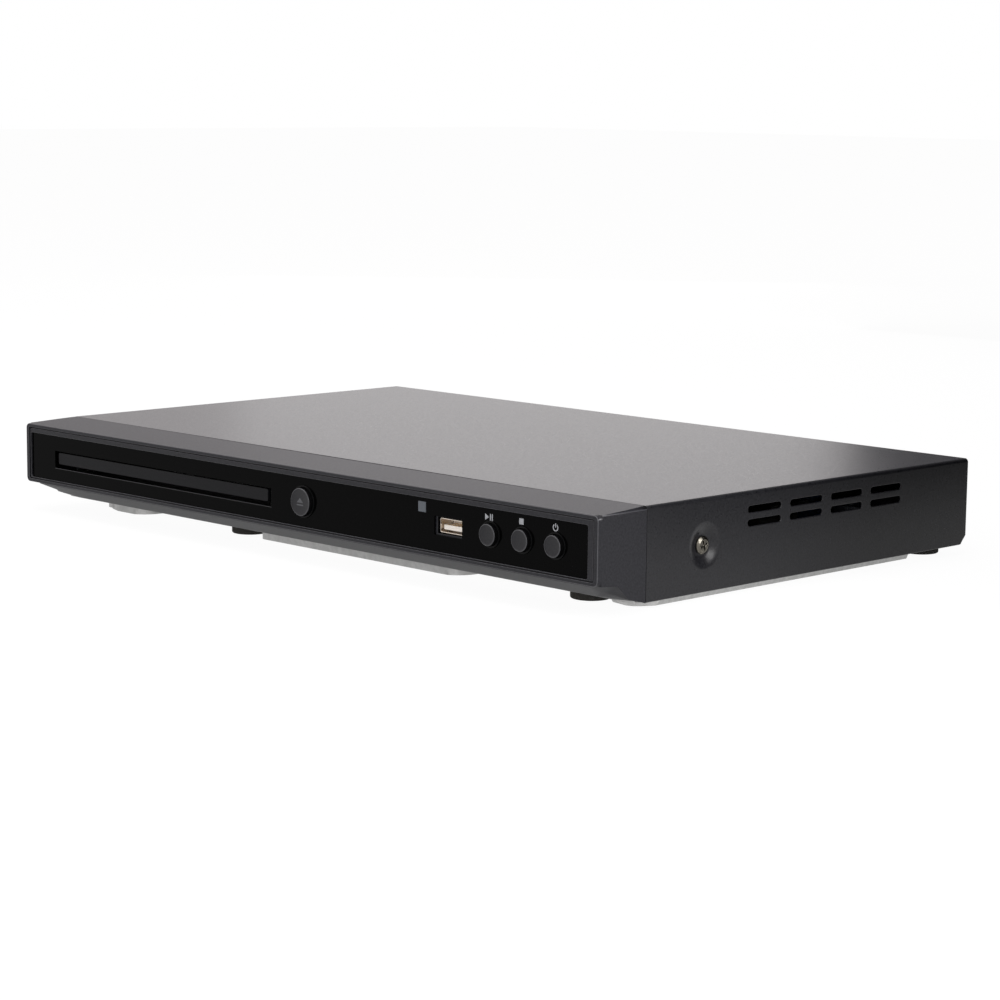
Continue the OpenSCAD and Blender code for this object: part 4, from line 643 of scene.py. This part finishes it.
# %% Front window
SLOT_LEFT, SLOT_RIGHT, SLOT_LOW, SLOT_HIGH = -159.4, -7.4, 21.3, 29.1
WINDOW_Y = 1.2
LIT_EDGE_SLOT = 1


def on_slot(x, z, reach):
    """True on the outline of the tray's slot, within reach."""
    inside = SLOT_LEFT - reach < x < SLOT_RIGHT + reach and SLOT_LOW - reach < z < SLOT_HIGH + reach
    core = SLOT_LEFT + reach < x < SLOT_RIGHT - reach and SLOT_LOW + reach < z < SLOT_HIGH - reach
    return inside and not core


mesh, shape = merged_copy("front_window")
nudge(shape, lambda x, y, z: x < -173.5, (LIP_SHIFT, 0, 0))
cut = round_edges(shape, lambda x, y, z: abs(y - WINDOW_Y) < 0.03 and on_slot(x, z, 0.03), 0.14, segments=2)
mesh.materials.append(slot_edge_highlight)
# only the lit lower and right sides of the slot get the painted highlight
for face in shape.faces:
    middle = face.calc_center_median() / MM
    lit_side = middle.z < SLOT_LOW + 0.3 or middle.x > SLOT_RIGHT - 0.3
    if on_slot(middle.x, middle.z, 0.3) and abs(face.normal.y) < 0.98 and lit_side:
        face.material_index = LIT_EDGE_SLOT
stand_in("front_window", mesh, shape, 0.08)
print("slot edges chamfered:", cut)

# %% [markdown]
# The other pieces with edges in view are simpler, and one width for each is enough.

# %% Other soft-edged pieces
edge_width = {
    "tray_door": 0.2, "rubber_feet": 0.25, "disc_tray": 0.15, "rear_panel": 0.12, "rear_screws": 0.1,
    "rca_block": 0.15, "scart_socket": 0.15, "hdmi_socket": 0.05, "mains_inlet": 0.2, "clamp_bridge": 0.1,
    "turntable": 0.1, "usb_shell": 0.05,
}
for name, width in edge_width.items():
    mesh, shape = merged_copy(name)
    stand_in(name, mesh, shape, width)
print(len(edge_width), "more pieces with soft edges")

# %% [markdown]
# The side screws have wide pan heads. Their solid heads are a little slim, so the copy's heads are
# drawn out from the screw's own axis, with the cross recess, before the edges are rounded.

# %% Side screws
HEAD_SPREAD = 1.16
mesh, shape = merged_copy("side_screws")
heads = [v for v in shape.verts if abs(v.co.x) / MM > HALF_WIDTH - SEAT_DEPTH - 0.05]
axis = Matrix.Translation((0, -(SEAT_Y - Y_MIDDLE) * MM, -SEAT_Z * MM))
bmesh.ops.scale(shape, vec=(1, HEAD_SPREAD, HEAD_SPREAD), space=axis, verts=heads)
stand_in("side_screws", mesh, shape, 0.12)
print("screw heads widened:", len(heads), "points")

# %% [markdown]
# ## Keys
# A key cap is a turned shape: a flat face a hair below a raised ring, a rounded shoulder, a long
# side that runs in its sleeve, the flange that keeps it in, and a stem that presses its switch. Half
# of its outline is drawn once and spun round the key's own axis.

# %% Turned key caps
SMOOTH_UP_TO = math.radians(40)


def new_piece(name, shape, node, material):
    """Makes an object of a finished bmesh, riding where a node rides."""
    mesh = bpy.data.meshes.new(name)
    shape.to_mesh(mesh)
    shape.free()
    for polygon in mesh.polygons:
        polygon.use_smooth = True
    mesh.set_sharp_from_angle(angle=SMOOTH_UP_TO)
    mesh.materials.append(material)
    piece = bpy.data.objects.new(name, mesh)
    bpy.context.scene.collection.objects.link(piece)
    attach(piece, rides_on[node])
    return piece


KEY_FACE = -0.9     # the solid keys stand 0.7 mm prouder
FLANGE, STEM_RADIUS = 0.9, 1.6
FLANGE_FRONT, FLANGE_BACK = 2.35, 1.35    # both measured from the stem's end
SHADED_SIDE_SLOT, RING_HIGHLIGHT_SLOT = 1, 2


def key_outline(radius, back):
    """Radius and depth of each corner, from the middle of the face to the end of the stem."""
    ring = [(-0.72, 0), (-0.62, -0.02), (-0.5, -0.1), (-0.34, -0.12), (-0.15, -0.07), (-0.04, 0.06),
            (0, 0.22)]
    return [(0, KEY_FACE), *((radius + r, KEY_FACE + y) for r, y in ring),
            (radius, back - FLANGE_FRONT), (radius + FLANGE, back - FLANGE_FRONT),
            (radius + FLANGE, back - FLANGE_BACK), (STEM_RADIUS, back - FLANGE_BACK),
            (STEM_RADIUS, back), (0, back)]


def turned_key(node):
    """Spins one key cap round its solid's axis, and gives its place and its face's radius."""
    low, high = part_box(node)
    x, z = (low[0] + high[0]) / 2 / MM, (low[2] + high[2]) / 2 / MM
    radius = (high[0] - low[0]) / 2 / MM - FLANGE
    shape = bmesh.new()
    corners = [shape.verts.new(machine_point(x + r, y, z))
               for r, y in key_outline(radius, high[1] / MM + Y_MIDDLE)]
    half = [shape.edges.new(pair) for pair in zip(corners, corners[1:])]
    bmesh.ops.spin(shape, geom=corners + half, cent=(x * MM, 0, z * MM), axis=(0, 1, 0), dvec=(0, 0, 0),
                   angle=2 * math.pi, steps=72, use_merge=True, use_duplicate=False)
    bmesh.ops.remove_doubles(shape, verts=shape.verts, dist=0.001 * MM)
    bmesh.ops.recalc_face_normals(shape, faces=shape.faces)
    for face in shape.faces:
        face_x, face_y, face_z = in_machine(face.calc_center_median())
        reach = math.hypot(face_x - x, face_z - z)
        # the side that runs in the sleeve is painted near-black as shade
        if abs(face.normal.y) < 0.3 and reach > radius - 0.1:
            face.material_index = SHADED_SIDE_SLOT
        # the ring round the face is painted a lighter grey as a highlight
        elif face_y < KEY_FACE + 0.2 and reach > radius - 0.3:
            face.material_index = RING_HIGHLIGHT_SLOT
    piece = new_piece(node + "_cap", shape, node, key_abs)
    piece.data.materials.append(painted_shade_abs)
    piece.data.materials.append(key_rim_highlight)
    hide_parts(node)
    return x, z, radius


keys = {name: turned_key(name) for name in KEYS}
for name, (x, z, radius) in keys.items():
    print(name, "at x", round(x, 1), "z", round(z, 1), "diameter", round(2 * radius, 1))

# %% [markdown]
# ## Printed marks
# Three plain control marks are printed on the window above the small keys: play and pause, stop, and
# standby. Ink is about 0.02 mm thick. Each mark is drawn with a few corners and pushed back a little
# way past the window's face, so that no gap shows behind it.

# %% A slab from a few corners
INK_FRONT, INK_BACK = 1.175, 1.21


def slab(shape, corners, push):
    """A face through machine points in millimetres, given its thickness by pushing it along a step."""
    face = shape.faces.new([shape.verts.new(machine_point(*corner)) for corner in corners])
    pushed = bmesh.ops.extrude_face_region(shape, geom=[face])["geom"]
    bmesh.ops.translate(shape, verts=[v for v in pushed if isinstance(v, bmesh.types.BMVert)],
                        vec=Vector(push) * MM)


def inked(shape, left, right, low, high, front=INK_FRONT, back=INK_BACK):
    """A flat upright bar from left to right and from low to high, between two depths."""
    slab(shape, [(left, front, low), (left, front, high), (right, front, high), (right, front, low)],
         (0, back - front, 0))


def mark_piece(name, shape, node="front_window", material=mark_ink):
    """Turns a finished mark's faces outwards and makes it a piece."""
    bmesh.ops.recalc_face_normals(shape, faces=shape.faces)
    piece = new_piece(name, shape, node, material)


print("ink is", round(INK_BACK - INK_FRONT, 3), "mm thick from its face to its back")

# %% [markdown]
# The play mark is a triangle beside two bars, and the stop mark is one square.

# %% Play, pause and stop marks
shape = bmesh.new()
slab(shape, [(119.7, INK_FRONT, 31.3), (119.7, INK_FRONT, 33.9), (121.8, INK_FRONT, 32.6)],
     (0, INK_BACK - INK_FRONT, 0))
for left in (122.3, 123.3):
    inked(shape, left, left + 0.55, 31.3, 33.9)
mark_piece("play_pause_mark", shape)
shape = bmesh.new()
inked(shape, 138.1, 140.4, 31.9, 34.2)
mark_piece("stop_mark", shape)
print("ink marks: play and pause, stop")

# %% [markdown]
# The standby mark is an open ring with a bar in its gap. The ring is a small block spun most of the
# way round.

# %% Standby mark
MARK_X, MARK_Z = 157.2, 32.9
RING_INNER, RING_OUTER, GAP_HALF = 1.0, 1.45, 32    # radii in millimetres, half of the gap in degrees
shape = bmesh.new()
slant_x, slant_z = math.sin(math.radians(GAP_HALF)), math.cos(math.radians(GAP_HALF))
start = [shape.verts.new(machine_point(MARK_X + slant_x * r, y, MARK_Z + slant_z * r))
         for r, y in ((RING_INNER, INK_FRONT), (RING_OUTER, INK_FRONT),
                      (RING_OUTER, INK_BACK), (RING_INNER, INK_BACK))]
block = shape.faces.new(start)
bmesh.ops.spin(shape, geom=[block] + start + list(block.edges), cent=(MARK_X * MM, 0, MARK_Z * MM),
               axis=(0, 1, 0), dvec=(0, 0, 0), angle=math.radians(360 - 2 * GAP_HALF), steps=36,
               use_duplicate=False)
inked(shape, MARK_X - 0.22, MARK_X + 0.22, MARK_Z + 0.1, MARK_Z + 1.6)
mark_piece("standby_mark", shape)
print("ink mark: standby")

# %% [markdown]
# The large key has its open and close mark moulded into its face, in the key's own plastic. Only the changed
# gloss shows it, so it is drawn barely proud in a slightly lighter grey, which is a painted sheen.

# %% Mark on the large key
MARK_HALF = 2.0
mark_front, mark_back = KEY_FACE - 0.015, KEY_FACE + 0.005
x, z, _ = keys["open_close_button"]
shape = bmesh.new()
slab(shape, [(x - MARK_HALF, mark_front, z - 0.3), (x, mark_front, z + 1.7),
             (x + MARK_HALF, mark_front, z - 0.3)], (0, mark_back - mark_front, 0))
inked(shape, x - MARK_HALF, x + MARK_HALF, z - 1.5, z - 0.95, mark_front, mark_back)
# the mark's lighter grey is a painted sheen
mark_piece("open_close_mark", shape, "open_close_button", relief_mark_sheen)
print("mark on the large key at", round(x, 1), round(z, 1))

# %% [markdown]
# ## USB socket
# The solid model holds the shell and its tongue. What the eye looks for in a socket is smaller: four
# gold strips on the tongue and the two springs pressed out of the shell's roof.

# %% Contacts and springs
TONGUE_TOP = 26.1
CONTACT_PLACES, CONTACT_WIDTH = (-3.5, -1.0, 1.0, 3.5), 1.0
SPRING_PLACES, SPRING_WIDTH = (-3.3, 3.3), 2.2
SPRING_SIDE = ((3.1, 28.53), (5.0, 28.3), (6.6, 28.0), (7.6, 28.3), (7.6, 28.4), (6.6, 28.1), (5.0, 28.42),
               (3.1, 28.6))
low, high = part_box("usb_tongue")
tongue_x = (low[0] + high[0]) / 2 / MM
shape = bmesh.new()
for place in CONTACT_PLACES:
    left = tongue_x + place - CONTACT_WIDTH / 2
    inked(shape, left, left + CONTACT_WIDTH, TONGUE_TOP - 0.02, TONGUE_TOP + 0.08, 4.3, 9.4)
bmesh.ops.recalc_face_normals(shape, faces=shape.faces)
contacts = new_piece("usb_contacts", shape, "usb_tongue", gold_contact)

shape = bmesh.new()
for place in SPRING_PLACES:
    slab(shape, [(tongue_x + place - SPRING_WIDTH / 2, y, z) for y, z in SPRING_SIDE], (SPRING_WIDTH, 0, 0))
bmesh.ops.recalc_face_normals(shape, faces=shape.faces)
springs = new_piece("usb_springs", shape, "usb_shell", socket_plate)
print("usb contacts and springs placed at x", round(tongue_x, 1))

# %% [markdown]
# ## Floor and light
# The player stands on a white sweep inside a light tent. The sweep glows white to the camera and in
# reflections, and a share of plain lit paper in it keeps the shadow under the player. For the light
# that bounces on, it is ordinary white paper.

# %% Floor
def seen_rays(material):
    """The rays that are to meet plain white: from the camera, mirrored, and through something clear."""
    path = add(material, "ShaderNodeLightPath")
    seen = add(material, "ShaderNodeMath", {
        0: path.outputs["Is Camera Ray"], 1: path.outputs["Is Glossy Ray"]}, operation="MAXIMUM")
    seen = add(material, "ShaderNodeMath", {
        0: seen.outputs[0], 1: path.outputs["Is Transmission Ray"]}, operation="MAXIMUM")
    return path, seen


floor_material, _ = new_material("white_paper_sweep")
path, seen = seen_rays(floor_material)
paper = add(floor_material, "ShaderNodeBsdfDiffuse", {"Color": paint("#e6e6e6")})
share = add(floor_material, "ShaderNodeMapRange", {"Value": path.outputs["Is Camera Ray"], "To Min": 0.4,
                                                   "To Max": 0.08})
shadowed = add(floor_material, "ShaderNodeBsdfDiffuse", {"Color": share.outputs[0]})
level = add(floor_material, "ShaderNodeMapRange", {"Value": path.outputs["Is Camera Ray"], "To Min": 0.5,
                                                   "To Max": 0.95})
glow = add(floor_material, "ShaderNodeEmission", {"Color": (1, 1, 1, 1), "Strength": level.outputs[0]})
sheet = add(floor_material, "ShaderNodeAddShader", {0: glow.outputs[0], 1: shadowed.outputs[0]})
show(floor_material, add(floor_material, "ShaderNodeMixShader", {0: seen.outputs[0], 1: paper.outputs[0],
                                                                 2: sheet.outputs[0]}))
floor_mesh = bpy.data.meshes.new("floor")
shape = bmesh.new()
bmesh.ops.create_grid(shape, x_segments=1, y_segments=1, size=8)
shape.to_mesh(floor_mesh)
shape.free()
floor = bpy.data.objects.new("floor", floor_mesh)
floor_mesh.materials.append(floor_material)
bpy.context.scene.collection.objects.link(floor)
floor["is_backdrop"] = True
print("floor laid, its half width in metres:", floor_mesh.vertices[-1].co.x)

# %% [markdown]
# A black product in an all-white tent looks flat, so a studio stands dark cards beside it. The black
# card here darkens the upper half of what the right side reflects, and the grey one, behind the
# player, tones down a part of what the top mirrors. The camera sees neither of them from any side.

# %% Cards
card_material, _ = new_material("black_velvet_card")
show(card_material, add(card_material, "ShaderNodeBsdfDiffuse", {"Color": paint("#0c0c0c")}))
grey_card_material, _ = new_material("grey_felt_card")
show(grey_card_material, add(grey_card_material, "ShaderNodeBsdfDiffuse", {"Color": paint("#75757a")}))


def stand_card(name, middle, axis, material):
    """A square card of a metre, stood upright by a quarter turn about X or Y, hidden from the camera."""
    mesh = bpy.data.meshes.new(name)
    shape = bmesh.new()
    bmesh.ops.create_grid(shape, x_segments=1, y_segments=1, size=0.5,
                          matrix=Matrix.Translation(middle) @ Matrix.Rotation(math.radians(90), 4, axis))
    shape.to_mesh(mesh)
    shape.free()
    mesh.materials.append(material)
    card = bpy.data.objects.new(name, mesh)
    card.visible_camera = False
    bpy.context.scene.collection.objects.link(card)
    card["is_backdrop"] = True
    print(name, "stands at", middle)


stand_card("black_card", (0.3, 0.52, 0.5), "Y", card_material)
stand_card("grey_card", (-0.03, 0.95, 0.5), "X", grey_card_material)

# %% [markdown]
# The tent itself is the world: plain white where it is seen, and a weaker white where it lights the
# player. All but the camera meets it a trace warm, as white cloth is. Five soft boxes add direction: a
# large one overhead, one in front, one at the right side, and two weak ones that draw the gradient on
# the top and the lit edges.

# %% World and lamps
world = bpy.data.worlds.new("tent")
bpy.context.scene.world = world
world.use_nodes = True
world.node_tree.nodes.clear()
path, seen = seen_rays(world)
strength = add(world, "ShaderNodeMapRange", {"Value": seen.outputs[0], "To Min": 0.4, "To Max": 1.0})
warmth = add(world, "ShaderNodeMix", {"Factor": path.outputs["Is Camera Ray"], "A": (1.0, 0.955, 0.965, 1),
                                      "B": (1, 1, 1, 1)}, data_type="RGBA")
sky = add(world, "ShaderNodeBackground", {"Color": warmth.outputs[2], "Strength": strength.outputs[0]})
add(world, "ShaderNodeOutputWorld", {"Surface": sky.outputs[0]})


TARGET = Vector((0, 0, 0.02))    # the middle of the player


def softbox(name, place, size, watts):
    """A square area lamp, hidden from the camera and turned to the player."""
    lamp = bpy.data.lights.new(name, "AREA")
    lamp.shape, lamp.size, lamp.energy = "SQUARE", size, watts
    holder = bpy.data.objects.new(name, lamp)
    holder.location = place
    holder.visible_camera = False
    holder.rotation_euler = (Vector(place) - TARGET).to_track_quat("Z", "Y").to_euler()
    bpy.context.scene.collection.objects.link(holder)


softbox("overhead_box", (0.2, -0.1, 1.6), 1.4, 14)
softbox("front_box", (-0.9, -1.4, 0.9), 0.9, 6)
softbox("side_box", (1.6, 0.15, 0.75), 0.9, 17)
softbox("sweep_box", (-1.05, 1.1, 0.3), 0.6, 0.45)
softbox("camera_box", (0.95, -1.0, 0.4), 0.5, 3)
print("lamps:", [lamp.name for lamp in bpy.data.lights])

# %% [markdown]
# ## Finish
# The overall size of the dressed player is printed, as that of the solids was at the start.

# %% Write the sizes and finish
low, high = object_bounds()
print("visual box in mm:", [round(v / MM, 1) for v in high - low])
